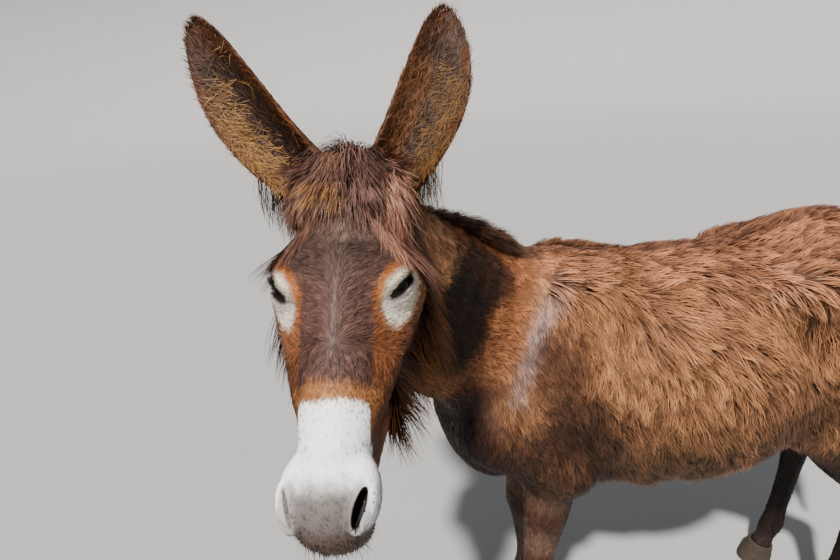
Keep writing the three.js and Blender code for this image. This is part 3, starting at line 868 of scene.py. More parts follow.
def body_colours(p, n):
    """Middle and tip colours over trunk and neck."""
    many = (len(p), 1)
    left = mirrored(p)
    # Painted light: hair facing upwards is made lighter, as the back is lit from above
    up = ramp(n[:, 2], 0.3, 0.9)
    patches = ramp(mottle(p, 230, 1) + 0.5 * mottle(p, 90, 2), 0.65, 1.5)
    # Painted shade: the lower belly is darkened, as it lies in the trunk's own shadow; the rest of
    # the patches are random darker tone
    low_belly = ramp(p[:, 2], 930, 820) * ramp(p[:, 1], -60, 20)
    patches = np.clip(patches + 0.85 * low_belly * ramp(mottle(p, 160, 3), -1.0, 0.4), 0, 1)
    mid = painted(np.tile(linear("70422a"), many), [("8b5238", up), ("160c08", 0.85 * patches)])
    tip = painted(np.tile(linear("d6986a"), many),
                  [("e0996f", up), ("d0905a", 0.6 * ramp(mottle(p, 75, 9), 0.1, 1.2))])
    tip = mixed(tip, mixed(linear("5c402c"), linear("86603f"), low_belly), 0.85 * patches)
    on_neck = ramp(p[:, 1], -40, -170) * ramp(p[:, 2], 900, 1060)
    # Painted shade: the throat and the underside of the neck are near black, for the head's shadow
    # on them
    throat = np.maximum(ramp(n[:, 1] - 0.6 * n[:, 2], 0.55, 0.95) * on_neck,
                        blob(left, (190, -272, 1120), (84, 84, 118)))
    shoulder = ramp(near_line(left, [(190, -60, 1010), (200, -20, 860)]), 95, 40)
    # Painted shade: the lower fore body round the elbows is darkened, where the trunk shades it
    elbow = ramp(p[:, 2], 940, 800) * ramp(p[:, 1], 150, 40)
    # Breast: its own dark brown, darkened further as painted shade for the head's shadow
    breast = ramp(p[:, 1], -110, -230) * ramp(p[:, 2], 1050, 900)
    # Painted light: the top of the neck behind the ear is lighter, over its own orange-brown, where
    # the sun falls on it
    nape = blob(left, (205, -285, 1270), (60, 95, 70))
    black = blob(left, *NECK_PATCH) * ramp(mottle(p, 60, 4), -2.2, -0.8)
    worn = ramp(near_line(left, WORN_STREAK), 36, 7)
    stripe = ramp(np.abs(p[:, 0]), 26, 8) * ramp(n[:, 2], 0.75, 0.95) * ramp(p[:, 1], -100, 0)
    marks = [
        (on_neck, 0.8, "834b2b", 0.8, "af7048"),
        (shoulder, 0.8, "3e2419", 0.8, "5f3f30"),
        (elbow, 0.9, "1c0f0b", 0.9, "573a2b"),
        (breast, 0.95, "240f0c", 0.95, "351711"),
        (throat, 0.97, "0d0503", 0.97, "140805"),
        (nape, 0.85, "bd7c50", 0.85, "f2b98c"),
        (black, 0.94, "120e0d", 0.9, "241b18"),
        (worn, 0.7, "8f8187", 0.7, "b3a4a6"),
        (stripe, 0.5, "3a2620", 0.5, "5b3d33"),
    ]
    mid = painted(mid, [(colour, share * mark) for mark, share, colour, _, _ in marks])
    tip = painted(tip, [(colour, share * mark) for mark, _, _, share, colour in marks])
    return mid, tip


def leg_colours(p):
    """Legs: greyish brown in front and inside, dark behind and below; the dark of the hind legs is
    painted shade under the trunk.
    """
    brown, pale, dark = linear("482b1f"), linear("725543"), linear("1c0f0b")
    fore = ramp(p[:, 1], 250, 150)
    front = ramp(mottle(p, 120, 5) + 0.2, -0.6, 0.8) * ramp(p[:, 2], 330, 480)
    # Painted shade: the hind legs take the dark colour, as they stand in the trunk's shadow
    mid = mixed(np.tile(dark, (len(p), 1)), mixed(np.tile(brown, (len(p), 1)), pale, front), fore)
    mid = painted(mid, [("2c201b", fore * ramp(p[:, 2], 420, 300)),
                        ("3a2f29", 0.5 * ramp(p[:, 2], 150, 70))])
    return mid, mid * 1.25


def head_colours(p):
    """Face: chocolate, rust beside the eyes and over the muzzle, pale rings, white muzzle."""
    q = mirrored(to_head(p)).astype(float)
    x, s, o = q.T
    left = to_head(p)[:, 0] > 0
    wander = 7 * mottle(p, 45, 6)
    fine = mottle(p, 14, 13)
    parting = ramp(x + 0.1 * wander, 4.5, 1) * ramp(s, 190, 235) * ramp(s, 296, 282)
    cheek = ramp(x - 0.35 * (o + 40) + wander, 62, 84) * ramp(s, 60, 120)
    beside = ramp(x + 0.3 * wander - 0.04 * (s - 260), 38, 46) * ramp(s, 200, 235)
    beside = beside * ramp(o, -120, -70)
    leant = q + np.array([1.0, 0, 0]) * 0.3 * (s - 217)[:, None]
    ring = blob(leant + 1.6 * fine[:, None], (77, 216, -30), (20.5, 41, 38))
    band = ramp(s + 0.5 * wander, 318, 334) * ramp(o, -60, -30)
    down = s + 0.3 * wander + 1.5 * fine - 46 * ramp(o, -26, -54) - 30 * ramp(o, -60, -110)
    muzzle = ramp(down, WHITE_MUZZLE - 3, WHITE_MUZZLE + 5)
    shadow = ramp(down, WHITE_MUZZLE, WHITE_MUZZLE + 50) * ramp(o, -28, -48) * left
    nose = ramp(s + 3.0 * fine - 0.1 * (o + 30), 424, 462) * ramp(x, 44, 28)
    lips = ramp(s + 3.0 * fine - 0.25 * (o + 40), 480, 504)
    # Painted shade: a grey line stands for the hollow of the right nostril, drawn in to a narrow
    # slot
    closed_nostril = ramp(nostril(q, (2.6, 22, 15), 0), 1.6, 0.2) * ~left
    r = (q - np.array(EYE_PLACE)) @ np.array([EYE_SLIT, EYE_BACK, EYE_OUT]).T
    # Painted shade along the tear duct's groove; round the opening the dark liner is the lids' own
    # dark rims
    duct = near_line(r * (1, 1, 0.3), [(-14, 0, 6), (-36, 0.5, 5)])
    opening = np.minimum(eye_opening(q), duct * 0.9)
    liner = ramp(opening, 4.2, 1.4)
    chocolate = mixed(np.tile(linear("331e1a"), (len(p), 1)), linear("51332c"), ramp(s, 160, 240))
    mid = painted(chocolate, [
        ("5f473e", 0.4 * ramp(fine, 0.1, 1.4)),                             # greying hairs
        ("57382e", 0.8 * ramp(s, 150, 90)),                                 # crown
        ("6f5a50", 0.35 * blob(q, (0, 126, 0), (9, 30, 40))),               # middle of the brow
        ("8f8078", 0.3 * parting),
        ("96603a", 0.85 * cheek),
        ("2c1c16", 0.75 * ramp(o, -130, -190)),                             # under the jaw
        ("82461c", 0.9 * beside),
        # Painted shade: the rust beside the eyes turns darker further round the side of the face,
        # where it turns from the light
        ("4a2c1c", 0.7 * beside * ramp(o, -40, -66)),                       # lower down the side
        ("a65d1f", 0.85 * blob(leant, (72, 214, -24), (29, 47, 44))),       # rust round the ring
        ("e0d5c3", 0.97 * ring),
        ("b0733f", 0.85 * band),
        ("eeeef0", muzzle),
        ("837e8c", 0.85 * shadow),
        ("40352e", 0.93 * nose),
        ("4e3d34", 0.92 * lips),
        ("5d5452", 0.7 * blob(q, NOSTRIL_PLACE, (11, 28, 22))),
        ("4c4543", 0.8 * closed_nostril),
        # Painted shade: the inside of the left nostril's slot is near black, for the dark of its
        # deep hollow
        ("0d0909", ramp(nostril_slot(to_head(p)), 2.2, 0.2) * left),
        # Upper lid: its own grey skin, darkened as painted shade under the fold and lashes
        ("5c5646", 0.8 * ramp(opening, 12, 4) * ramp(r[:, 1], 1, -3)),      # upper lid
        ("a89ca0", 0.55 * ramp(opening, 15, 4) * ramp(r[:, 1], -1, 3)),     # lower lid
        # Liner: dark lid rims, with painted shade in the tear duct's groove
        ("15100e", liner),
        ("5e3a28", 0.8 * blob(q, (60, 20, -34), (46, 44, 50))),             # root of the ear
    ])
    bare = np.clip(muzzle + liner, 0, 1)
    tip = mixed(np.clip(mid * 1.5, 0, 1), linear("8f776c"), 0.22 * (1 - ring) * (1 - muzzle))
    return mid, mixed(tip, mid, 0.9 * muzzle), bare


def ear_colours(p, part, inside):
    """Ears: rust brown behind, on the rims and at the tip; dark in the hollow as painted shade,
    with painted light on part of the near ear's hollow.
    """
    many = (len(p), 1)
    rust = np.tile(linear("52290f"), many) * (1 + 0.2 * mottle(p, 60, 8))[:, None]
    hollow, lit = np.zeros(len(p)), np.zeros(len(p))
    for ear in EARS:
        root, along, _, across, out = ear_frame(ear)
        t = (p - root) @ along / EAR_LENGTH
        width = np.interp(t, EAR_LEAF[:, 0], EAR_LEAF[:, 1])
        off = ((p - root) @ across - 4 * EAR_BOW * t * (1 - t) * out) / width
        # Painted shade: the deep middle of each hollow is made nearly black
        deep = ramp(np.abs(off + 0.04 * out), 0.86, 0.62) * ramp(t, 0.9, 0.74) * inside
        if ear == EAR_LEFT:
            lit = np.where(part == ear, ramp(off * out, 0.0, -0.3) * ramp(t, 0.8, 0.6) * inside, 0)
        rust = rust * np.where(part == ear, 1 - 0.6 * ramp(t, 0.7, 0.9), 1)[:, None]
        hollow = np.where(part == ear, deep, hollow)
    mid = mixed(rust, linear("1a0b06"), 0.97 * hollow)
    mid = mixed(mid, linear("6b452c"), 0.85 * lit)
    tip = mixed(mid, linear("80491c"), 0.5)
    return mid, mixed(tip, linear("4a2a15"), 0.9 * hollow * (1 - lit))


def markings(part, p, n, inside):
    """Middle colour, tip colour and bareness at places on the skin."""
    on_body, on_body_tip = body_colours(p, n)
    on_leg, on_leg_tip = leg_colours(p)
    on_head, on_head_tip, on_head_bare = head_colours(p)
    down_leg = ramp(p[:, 2], 720, 560) * (p[:, 2] < 740)
    mid, tip = mixed(on_body, on_leg, down_leg), mixed(on_body_tip, on_leg_tip, down_leg)
    near_head = ramp(half_skull(mirrored(to_head(p))), 24, 2) * (part == NECK)
    to_face = np.where(part == HEAD, 1.0, near_head)
    mid, tip = mixed(mid, on_head, to_face), mixed(tip, on_head_tip, to_face)
    bare = on_head_bare * to_face
    ears = part >= EAR_LEFT
    on_ear, on_ear_tip = ear_colours(p, part, inside.astype(float))
    mid[ears], tip[ears], bare[ears] = on_ear[ears], on_ear_tip[ears], 0
    return np.clip(mid, 0, 1), np.clip(tip, 0, 1), bare


# ---------------------------------------------------------------- the lie of the coat
def flat_on(way, n):
    """A direction laid along the skin."""
    return units(way - n * (way * n).sum(1)[:, None])


def lie_of_coat(part, p, n):
    """Which way the hair lies at places on the skin."""
    flank = ramp(n[:, 2], 0.98, 0.3)
    way = columns(0.1 * np.sign(p[:, 0]), 1 - 0.5 * flank, -0.1 - 1.15 * flank)
    way = mixed(way, np.array([0, 0.35, -1]), ramp(p[:, 1], -80, -220))
    way = mixed(way, np.array([0, 0.45, -1]), ramp(p[:, 1], 560, 760))
    for parts, lie in ((NECK, (-0.25, 0.75, -0.85)), (LEG_PARTS, (0, 0.15, -1)),
                       (TAIL, (0, 0.1, -1))):
        way = np.where(np.isin(part, parts)[:, None], lie, way)
    x, s, o = to_head(p).astype(float).T
    side = np.sign(x) * ramp(np.abs(x), 0, 16)
    up_face = columns(side * 1.1, -1.0 + 0.55 * np.abs(side), 0)
    face = mixed(columns(side * 0.35, 1, 0), up_face, ramp(s, WHORL + 14, WHORL - 14))
    off_crown = columns(np.clip(x / 55, -1, 1) * 0.45, 0.9, 0)
    face = mixed(face, off_crown, ramp(s, 165, 120))
    face = mixed(face, columns(0.4 * side, 0.75, -0.55), ramp(o, -45, -80))
    head = part == HEAD
    way = np.where(head[:, None], turn_from_head(face), way)
    for ear in EARS:
        _, along, _, _, _ = ear_frame(ear)
        way = np.where((part == ear)[:, None], along, way)
    swirl = 0.35 * mottle(p, 170, 11) + 0.22 * mottle(p, 60, 12)
    swirl = np.where(head, 0.35 * swirl, swirl)
    way = flat_on(way, n)
    return units(way + np.cross(n, way) * swirl[:, None])


# ---------------------------------------------------------------- tufts
class Roots:
    """Places on the skin where tufts grow."""

    def __init__(self, at, normal, part, inside):
        self.at, self.normal, self.part, self.inside = at, normal, part, inside
        self.way = lie_of_coat(part, at, normal)
        self.mid, self.tip, _ = markings(part, at, normal, inside)

    def repaint(self, mid, tip):
        self.mid = np.tile(linear(mid), (len(self.at), 1))
        self.tip = np.tile(linear(tip), (len(self.at), 1))

    # Scales the colours: used for painted shade under the trunk's outer coat and painted light on
    # the crown
    def shade(self, share):
        self.mid = self.mid * share[:, None]
        self.tip = self.tip * share[:, None]


def scatter(chosen, count, rng, crowd=None):
    """Roots spread over some faces of the skin, as many to each as its size asks."""
    body = skin()
    picked = np.flatnonzero(chosen)
    weight = body.sizes[picked] * (1 if crowd is None else crowd[picked])
    face = picked[rng.choice(len(picked), count, p=weight / weight.sum())]
    a, b = rng.random((2, count))
    over = a + b > 1
    a[over], b[over] = 1 - a[over], 1 - b[over]
    share = np.stack([1 - a - b, a, b], -1)[:, :, None]
    at = (body.points[body.faces[face]] * share).sum(1)
    normal = units((body.normals[body.faces[face]] * share).sum(1))
    return Roots(at, normal, body.part[face], body.inside[face])


def nearest(places, seeds):
    """For each place, the number of the nearest seed."""
    tree = KDTree(len(seeds))
    for i, seed in enumerate(seeds):
        tree.insert(seed, i)
    tree.balance()
    return np.array([tree.find(place)[1] for place in places])


def blades(roots, rng, length, width, lift, droop=0.6, curl=0.0, spans=2, sink=1.0, gather=0.0,
           lock=10, wild=0.15, root_shade=0.5, depth=0.45, tip_share=1.0, patchy=0.24):
    """Tapering blades of hair, each of spans rows and a tip.

    lift raises a blade off the skin as a share of its length, and droop bends it back as a share
    of that. gather draws the blades' ends together in locks of about lock blades each. A blade
    deep in the coat lies flatter and is darker by depth than one on top, painted shade for the
    coat's depth; root_shade darkens each blade towards its root, painted shade in the gaps
    between the locks. sink is how far under the skin it starts, wild how far it strays, and
    patchy how much one lock differs from the next.
    """
    n = len(roots.at)
    length = (length * rng.uniform(0.75, 1.2, n))[:, None]
    width = (width * rng.uniform(0.75, 1.25, n))[:, None]
    normal = roots.normal
    way = flat_on(roots.way + rng.normal(0, wild, (n, 3)), normal)
    side = np.cross(way, normal)
    level = rng.random(n)
    tone = rng.normal(0, 0.14, n)
    pull = np.zeros((n, 3))
    if np.any(gather):
        ends = roots.at + way * length
        seeds = rng.choice(n, max(n // lock, 1), replace=False)
        mine = seeds[nearest(ends, ends[seeds])]
        pull = ends[mine] + way[mine] * 0.12 * length[mine] - ends
        pull = pull * np.broadcast_to(gather, n)[:, None]
        level = 0.4 * level + 0.6 * rng.random(n)[mine]
        tone = tone + patchy * rng.normal(0, 1, n)[mine]
    rise = (lift * (0.35 + 1.1 * level))[:, None]
    # Painted shade: a blade deeper in the coat is darker
    tone = np.exp(np.minimum(tone, 0.3)) * (1 - depth * (1 - level))
    curl = (curl * rng.normal(0, 1, n))[:, None]
    roll = rng.normal(0, 0.4, n)[:, None]
    across = side * np.cos(roll) + normal * np.sin(roll)

    def row(t):
        place = (roots.at - normal * sink * (1 - t) ** 2 + way * length * t
                 + side * length * curl * t * t
                 + normal * length * rise * t * (1 - droop * t) + pull * t ** 1.5)
        # Painted shade: darker towards the root, in the gaps between the locks
        shade = np.broadcast_to(root_shade + (1 - root_shade) * min(1, 1.4 * t), n)
        colour = mixed(roots.mid * shade[:, None], roots.tip, np.full(n, tip_share * t ** 1.5))
        tilt = units(normal + 1.3 * roll * side + (0.7 * t - 0.3) * way)
        half = across * width * (0.5 if t == 0 else 0.52 - 0.36 * t)
        return place, half, np.clip(colour * tone[:, None], 0.002, 1), tilt
    return grown(roots, spans, row)


def hanging(roots, rng, length, width=2.4, spread=0.5):
    """Long hair that leaves the skin, turns down and narrows to a point with the rest."""
    n = len(length)
    wave = rng.normal(0, 3.0, (n, 3))
    across = units(np.cross(roots.normal, roots.way))

    def row(t):
        belly = spread * 26 * math.sin(math.pi * min(1, 1.25 * t)) - 10 * t
        place = (roots.at + roots.way * (length * t)[:, None] + roots.normal * belly
                 + wave * math.sin(5 * t))
        colour = mixed(roots.mid, roots.tip, np.full(n, t * t))
        return place, across * width * (0.5 - 0.3 * t), colour, roots.normal
    return grown(roots, 6, row)


def grown(roots, spans, row):
    """Blades and their roots, from what row(t) gives at shares of their length: the middles,
    half widths, colours and tilts."""
    places, shades, tilts = [], [], []
    for k in range(spans + 1):
        place, half, colour, tilt = row(k / spans)
        ends = [place] if k == spans else [place - half, place + half]
        places += ends
        shades += [colour] * len(ends)
        tilts += [tilt] * len(ends)
    return roots, np.stack(places, 1), np.stack(shades, 1), np.stack(tilts, 1)


def blade_pattern(spans):
    """Corner numbers of one blade's faces, corner counts, and each corner's place in its patch."""
    corners, counts = [], []
    for k in range(spans - 1):
        corners += [2 * k, 2 * k + 1, 2 * k + 3, 2 * k + 2]
        counts.append(4)
    corners += [2 * spans - 2, 2 * spans - 1, 2 * spans]
    counts.append(3)
    patch = [(0.5, 1.0) if c == 2 * spans else (c % 2, (c // 2) / spans) for c in corners]
    return np.array(corners), np.array(counts), np.array(patch, float)


# ---------------------------------------------------------------- making meshes
def shift_to_row():
    """The move from the frame of the forms to the frame of the solids, mm."""
    low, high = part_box("eye_left")
    middle = (np.array(low) + np.array(high)) / 2 * 1000
    return middle - from_head(EYE_PLACE)


ROW_SHIFT = shift_to_row()


def in_metres(points):
    return (np.asarray(points, float) + ROW_SHIFT) / 1000


def new_mesh(name, points, corners, counts, colours=None, uv=None, extra=None, normals=None):
    """A mesh object from arrays: the faces' corner numbers one after another, and their counts."""
    mesh = bpy.data.meshes.new(name)
    mesh.vertices.add(len(points))
    mesh.vertices.foreach_set("co", in_metres(points).astype(np.float32).ravel())
    mesh.loops.add(len(corners))
    mesh.loops.foreach_set("vertex_index", corners.astype(np.int32).ravel())
    mesh.polygons.add(len(counts))
    starts = np.concatenate([[0], np.cumsum(counts)[:-1]]).astype(np.int32)
    mesh.polygons.foreach_set("loop_start", starts)
    mesh.update(calc_edges=True)
    if colours is not None:
        layer = mesh.color_attributes.new("coat_colour", "FLOAT_COLOR", "POINT")
        opaque = np.concatenate([colours, np.ones((len(colours), 1))], 1).astype(np.float32)
        layer.data.foreach_set("color", opaque.ravel())
    for key, values in (extra or {}).items():
        layer = mesh.attributes.new(key, "FLOAT", "POINT")
        layer.data.foreach_set("value", np.asarray(values, np.float32))
    if uv is not None:
        layer = mesh.uv_layers.new(name="OFBake")
        layer.data.foreach_set("uv", uv.astype(np.float32).ravel())
    mesh.polygons.foreach_set("use_smooth", np.ones(len(counts), bool))
    if normals is not None:
        mesh.normals_split_custom_set_from_vertices(normals.astype(np.float32))
    piece = bpy.data.objects.new(name, mesh)
    bpy.context.scene.collection.objects.link(piece)
    return piece


def finished(piece, material):
    """Gives a piece its material and its place on the body."""
    piece.data.materials.append(material)
    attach(piece, "root")
    return piece


def coat_piece(name, slot, *lots):
    """Joins lots of blades, as blades() and hanging() give them, into one piece."""
    along, turn = coat_unwrap(*(np.concatenate([getattr(roots, what) for roots, *_ in lots])
                                for what in ("at", "part", "inside")))
    places, shades, tilts, corners, counts, uvs = [], [], [], [], [], []
    offset = first = 0
    for roots, *blade_rows in lots:
        n, size = blade_rows[0].shape[:2]
        pattern, faces, patch = blade_pattern(size // 2)
        corners.append((pattern[None] + (offset + size * np.arange(n))[:, None]).ravel())
        counts.append(np.tile(faces, n))
        base = np.stack([along[first:first + n], turn[first:first + n]], -1)
        uvs.append((base[:, None] + patch[None] * PATCH).reshape(-1, 2))
        for kept, value in zip((places, shades, tilts), blade_rows):
            kept.append(value.reshape(-1, 3))
        offset += n * size
        first += n
    places, shades, tilts, corners, counts, uvs = (
        np.concatenate(v) for v in (places, shades, tilts, corners, counts, uvs))
    piece = new_mesh(name, places, corners, counts, shades, uvs, normals=tilts)
    return finished(piece, coat_hair())


def coat_unwrap(at, part, inside):
    """Roots of one coat piece on the unwrap of the skin, spread over the whole square."""
    along, turn = np.zeros(len(at)), np.zeros(len(at))
    present = sorted(set(part))
    for i, one in enumerate(present):
        mine = part == one
        a, b = unwrap(one, at[mine])
        b = b + 1.1 * inside[mine]
        a = (a - a.min()) / max(np.ptp(a), 1e-6)
        b = (b - b.min()) / max(np.ptp(b), 1e-6)
        along[mine] = a
        turn[mine] = (i + 0.01 + 0.98 * b) / len(present)
    return along * (1 - PATCH), turn * (1 - PATCH)


# ---------------------------------------------------------------- materials
def add_node(material, kind, settings=None, links=None):
    """Adds a node, sets its values and links: {socket: value} and {socket: other socket}."""
    node = material.node_tree.nodes.new(kind)
    for key, value in (settings or {}).items():
        if isinstance(key, str) and hasattr(node, key):
            setattr(node, key, value)
        else:
            node.inputs[key].default_value = value
    for key, source in (links or {}).items():
        material.node_tree.links.new(source, node.inputs[key])
    return node


def new_material(name):
    material = bpy.data.materials.new(name)
    material.use_nodes = True
    material.node_tree.nodes.clear()
    return material


def finish_material(material, shader):
    out = add_node(material, "ShaderNodeOutputMaterial")
    material.node_tree.links.new(shader.outputs[0], out.inputs["Surface"])
    return material


def rgba(colour):
    return (*[float(c) for c in colour], 1.0)


def on_object(material, kind, settings):
    """A texture laid over the object's own coordinates, in metres."""
    where = add_node(material, "ShaderNodeTexCoord")
    return add_node(material, kind, settings, {"Vector": where.outputs["Object"]})


def toned_coat(material, scale, least, most):
    """The coat's colours, lighter and darker with a noise; gives the colour and the noise."""
    colour = add_node(material, "ShaderNodeAttribute", {"attribute_name": "coat_colour"})
    noise = on_object(material, "ShaderNodeTexNoise", {"Scale": scale, "Detail": 3.0})
    tone = add_node(material, "ShaderNodeMapRange", {"To Min": least, "To Max": most},
                    {"Value": noise.outputs["Fac"]})
    toned = add_node(material, "ShaderNodeHueSaturation", {},
                     {"Color": colour.outputs["Color"], "Value": tone.outputs["Result"]})
    return toned.outputs["Color"], noise.outputs["Fac"]


@functools.lru_cache(maxsize=None)
def coat_hair():
    """Keratin hair, sun-bleached at the tips: a soft sheen along each lock, and dark between from
    painted shade in the coat's colours.
    """
    m = new_material("Donkey hair")
    # Dust and bleaching in patches about 12 mm across.
    colour, _ = toned_coat(m, 80.0, 0.78, 1.22)
    shader = add_node(m, "ShaderNodeBsdfPrincipled",
                      {"Roughness": 0.55, "IOR": 1.55, "Specular IOR Level": 0.2},
                      {"Base Color": colour})
    return finish_material(m, shader)


@functools.lru_cache(maxsize=None)
def short_haired_hide():
    """Hide under short flat hair: matt, finely streaked, smoother and speckled on the muzzle."""
    m = new_material("Short-haired hide")
    # Single hairs are finer than can show, so the streaks are drawn about 2 mm across.
    colour, streaks = toned_coat(m, 420.0, 0.8, 1.2)
    bare = add_node(m, "ShaderNodeAttribute", {"attribute_name": "bareness"})
    # Dark specks 1 to 3 mm across, on the bare muzzle only.
    specks = on_object(m, "ShaderNodeTexVoronoi", {"Scale": 95.0})
    spot = add_node(m, "ShaderNodeMapRange",
                    {"From Min": 0.16, "From Max": 0.1, "To Min": 0.0, "To Max": 1.0},
                    {"Value": specks.outputs["Distance"]})
    few = add_node(m, "ShaderNodeMath", {"operation": "GREATER_THAN", 1: 0.84},
                   {0: specks.outputs["Color"]})
    chosen = add_node(m, "ShaderNodeMath", {"operation": "MULTIPLY"},
                      {0: spot.outputs["Result"], 1: few.outputs[0]})
    on_muzzle = add_node(m, "ShaderNodeMath", {"operation": "MULTIPLY"},
                         {0: chosen.outputs[0], 1: bare.outputs["Fac"]})
    speckled = add_node(m, "ShaderNodeMix",
                        {"data_type": "RGBA", "B": rgba(linear("4a423f"))},
                        {"Factor": on_muzzle.outputs[0], "A": colour})
    bump = add_node(m, "ShaderNodeBump", {"Strength": 0.35, "Distance": 0.0006},
                    {"Height": streaks})
    shader = add_node(m, "ShaderNodeBsdfPrincipled",
                      {"Roughness": 0.62, "IOR": 1.45, "Specular IOR Level": 0.3},
                      {"Base Color": speckled.outputs["Result"],
                       "Normal": bump.outputs["Normal"]})
    return finish_material(m, shader)


def wet_eye(iris):
    """Dark brown iris under a wet cornea: nearly black, with one sharp highlight."""
    m = new_material("Wet brown eye")
    gaze = add_node(m, "ShaderNodeAttribute", {"attribute_name": "from_gaze"})
    rings = add_node(m, "ShaderNodeValToRGB", {}, {"Fac": gaze.outputs["Fac"]})
    stops = [(0.0, linear("060403")), (0.2, linear("0a0605")), (0.26, iris),
             (0.5, linear("120b08")), (0.6, linear("120d0b"))]
    ramp_ends = rings.color_ramp.elements
    for at, _ in stops[2:]:
        ramp_ends.new(at)
    for element, (at, colour) in zip(ramp_ends, stops):
        element.position, element.color = at, rgba(colour)
    shader = add_node(m, "ShaderNodeBsdfPrincipled",
                      {"Roughness": 0.2, "IOR": 1.376, "Specular IOR Level": 0.3,
                       "Coat Weight": 0.12, "Coat Roughness": 0.03},
                      {"Base Color": rings.outputs["Color"]})
    return finish_material(m, shader)


@functools.lru_cache(maxsize=None)
def hoof_horn():
    """Hoof horn, worn on stony ground: grey-brown growth rings, matt with dusty scratches."""
    m = new_material("Worn hoof horn")
    rings = on_object(m, "ShaderNodeTexWave",
                      {"bands_direction": "Z", "Scale": 34.0, "Distortion": 2.5, "Detail": 2.0})
    dust = on_object(m, "ShaderNodeTexNoise", {"Scale": 60.0, "Detail": 4.0})
    horn = add_node(m, "ShaderNodeMix",
                    {"data_type": "RGBA", "A": rgba(linear("1c1714")), "B": rgba(linear("2c2621"))},
                    {"Factor": rings.outputs["Fac"]})
    dusty = add_node(m, "ShaderNodeMix",
                     {"data_type": "RGBA", "B": rgba(linear("40362d"))},
                     {"Factor": dust.outputs["Fac"], "A": horn.outputs["Result"]})
    bump = add_node(m, "ShaderNodeBump", {"Strength": 0.4, "Distance": 0.001},
                    {"Height": rings.outputs["Fac"]})
    shader = add_node(m, "ShaderNodeBsdfPrincipled",
                      {"Roughness": 0.8, "IOR": 1.54, "Specular IOR Level": 0.2},
                      {"Base Color": dusty.outputs["Result"], "Normal": bump.outputs["Normal"]})
    return finish_material(m, shader)


def studio_floor():
    """Matt painted floor, pale and plain."""
    m = new_material("Matt studio floor")
    grain = on_object(m, "ShaderNodeTexNoise", {"Scale": 3.0})
    tone = add_node(m, "ShaderNodeMapRange", {"To Min": 0.27, "To Max": 0.29},
                    {"Value": grain.outputs["Fac"]})
    shader = add_node(m, "ShaderNodeBsdfPrincipled", {"Roughness": 0.9},
                      {"Base Color": tone.outputs["Result"]})
    return finish_material(m, shader)


# ---------------------------------------------------------------- settings in the sidebar
def colour_setting(name, what, hex_colour):
    return bpy.props.FloatVectorProperty(name=name, description=what, subtype="COLOR", size=3,
                                         min=0, max=1, default=tuple(linear(hex_colour)))


def length_setting(name, what, mm):
    return bpy.props.FloatProperty(name=name, description=what, unit="LENGTH", min=0,
                                   default=mm / 1000)


class DonkeyCoatSettings(bpy.types.PropertyGroup):
    """Sizes of the coat."""

    trunk_hair: length_setting("Trunk hair", "Length of the tufts on back, flank and belly", 48)
    neck_hair: length_setting("Neck hair", "Length of the tufts on the neck", 21)
    leg_hair: length_setting("Leg hair", "Length of the tufts on the legs", 17)
    face_hair: length_setting("Face hair", "Length of the hair on the front of the face", 13)
    mane_hair: length_setting("Mane", "Length of the hair along the crest of the neck", 44)
    forelock_hair: length_setting("Forelock", "Length of the hair between the ears", 92)
    density: bpy.props.FloatProperty(name="Density", description="Share of the tufts that are made",
                                     subtype="FACTOR", min=0.05, max=1.0, default=1.0)


class DonkeyStageSettings(bpy.types.PropertyGroup):
    """Eyes and lights."""

    iris: colour_setting("Iris", "Colour of the iris", "170e09")
    key_light: bpy.props.FloatProperty(name="Key light", description="Strength of the key light",
                                       min=0, default=9.6)
    fill_light: bpy.props.FloatProperty(name="Fill light", description="Brightness all round",
                                        min=0, default=0.46)


# ---------------------------------------------------------------- pieces
def make_skin():
    body = skin()
    corner_part = np.zeros(len(body.points), int)
    corner_inside = np.zeros(len(body.points), bool)
    corner_part[body.faces.ravel()] = np.repeat(body.part, 3)
    corner_inside[body.faces.ravel()] = np.repeat(body.inside, 3)
    mid, _, bare = markings(corner_part, body.points, body.normals, corner_inside)
    # Painted shade: the skin takes the hair colour darkened, as it lies in the shade under the
    # coat, except where bare
    under = mid * (0.6 + 0.4 * bare[:, None])
    piece = new_mesh("skin", body.points, body.faces.ravel(), np.full(len(body.faces), 3), under,
                     skin_unwrap(), {"bareness": bare})
    finished(piece, short_haired_hide())
    legs = [f"{leg}_{half}" for leg, *_ in LEGS for half in ("upper", "lower")]
    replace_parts(piece, "trunk", "neck", "head", "ear_left", "ear_right", "tail_dock", *legs)


def ball(centre, radius, axis, rings=28, sides=40):
    """A sphere as a net of quads and two caps of triangles, with each point's angle from axis."""
    axis = unit(axis)
    across = unit(np.cross(axis, (0.3, 0.2, 0.9)))
    up = np.cross(axis, across)
    angle = np.linspace(0, math.pi, rings + 1)[1:-1]
    a = np.arange(sides) * 2 * math.pi / sides
    ring = np.cos(a)[:, None] * across + np.sin(a)[:, None] * up
    points = (np.cos(angle)[:, None, None] * axis + np.sin(angle)[:, None, None] * ring)
    points = np.concatenate([points.reshape(-1, 3), axis[None], -axis[None]]) * radius + centre
    hub = (rings - 1) * sides
    caps = [fan(hub, 0, sides), turned_over(fan(hub + 1, hub - sides, sides))]
    corners, counts = face_lists(turned_over(ring_net(rings - 1, sides)), np.concatenate(caps))
    return points, corners, counts, np.concatenate([np.repeat(angle, sides), [0, math.pi]])


def make_eyes(settings):
    cornea = wet_eye(tuple(settings.iris))
    for side, name in ((1, "eye_left"), (-1, "eye_right")):
        centre = from_head(np.array(EYE_PLACE) * (side, 1, 1))
        gaze = turn_from_head(EYE_OUT * (side, 1, 1))
        points, corners, counts, angles = ball(centre, EYE_RADIUS * HEAD_SCALE, gaze)
        piece = new_mesh(name.replace("eye", "eyeball"), points, corners, counts,
                         extra={"from_gaze": angles / math.pi * 2})
        finished(piece, cornea)
        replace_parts(piece, name)


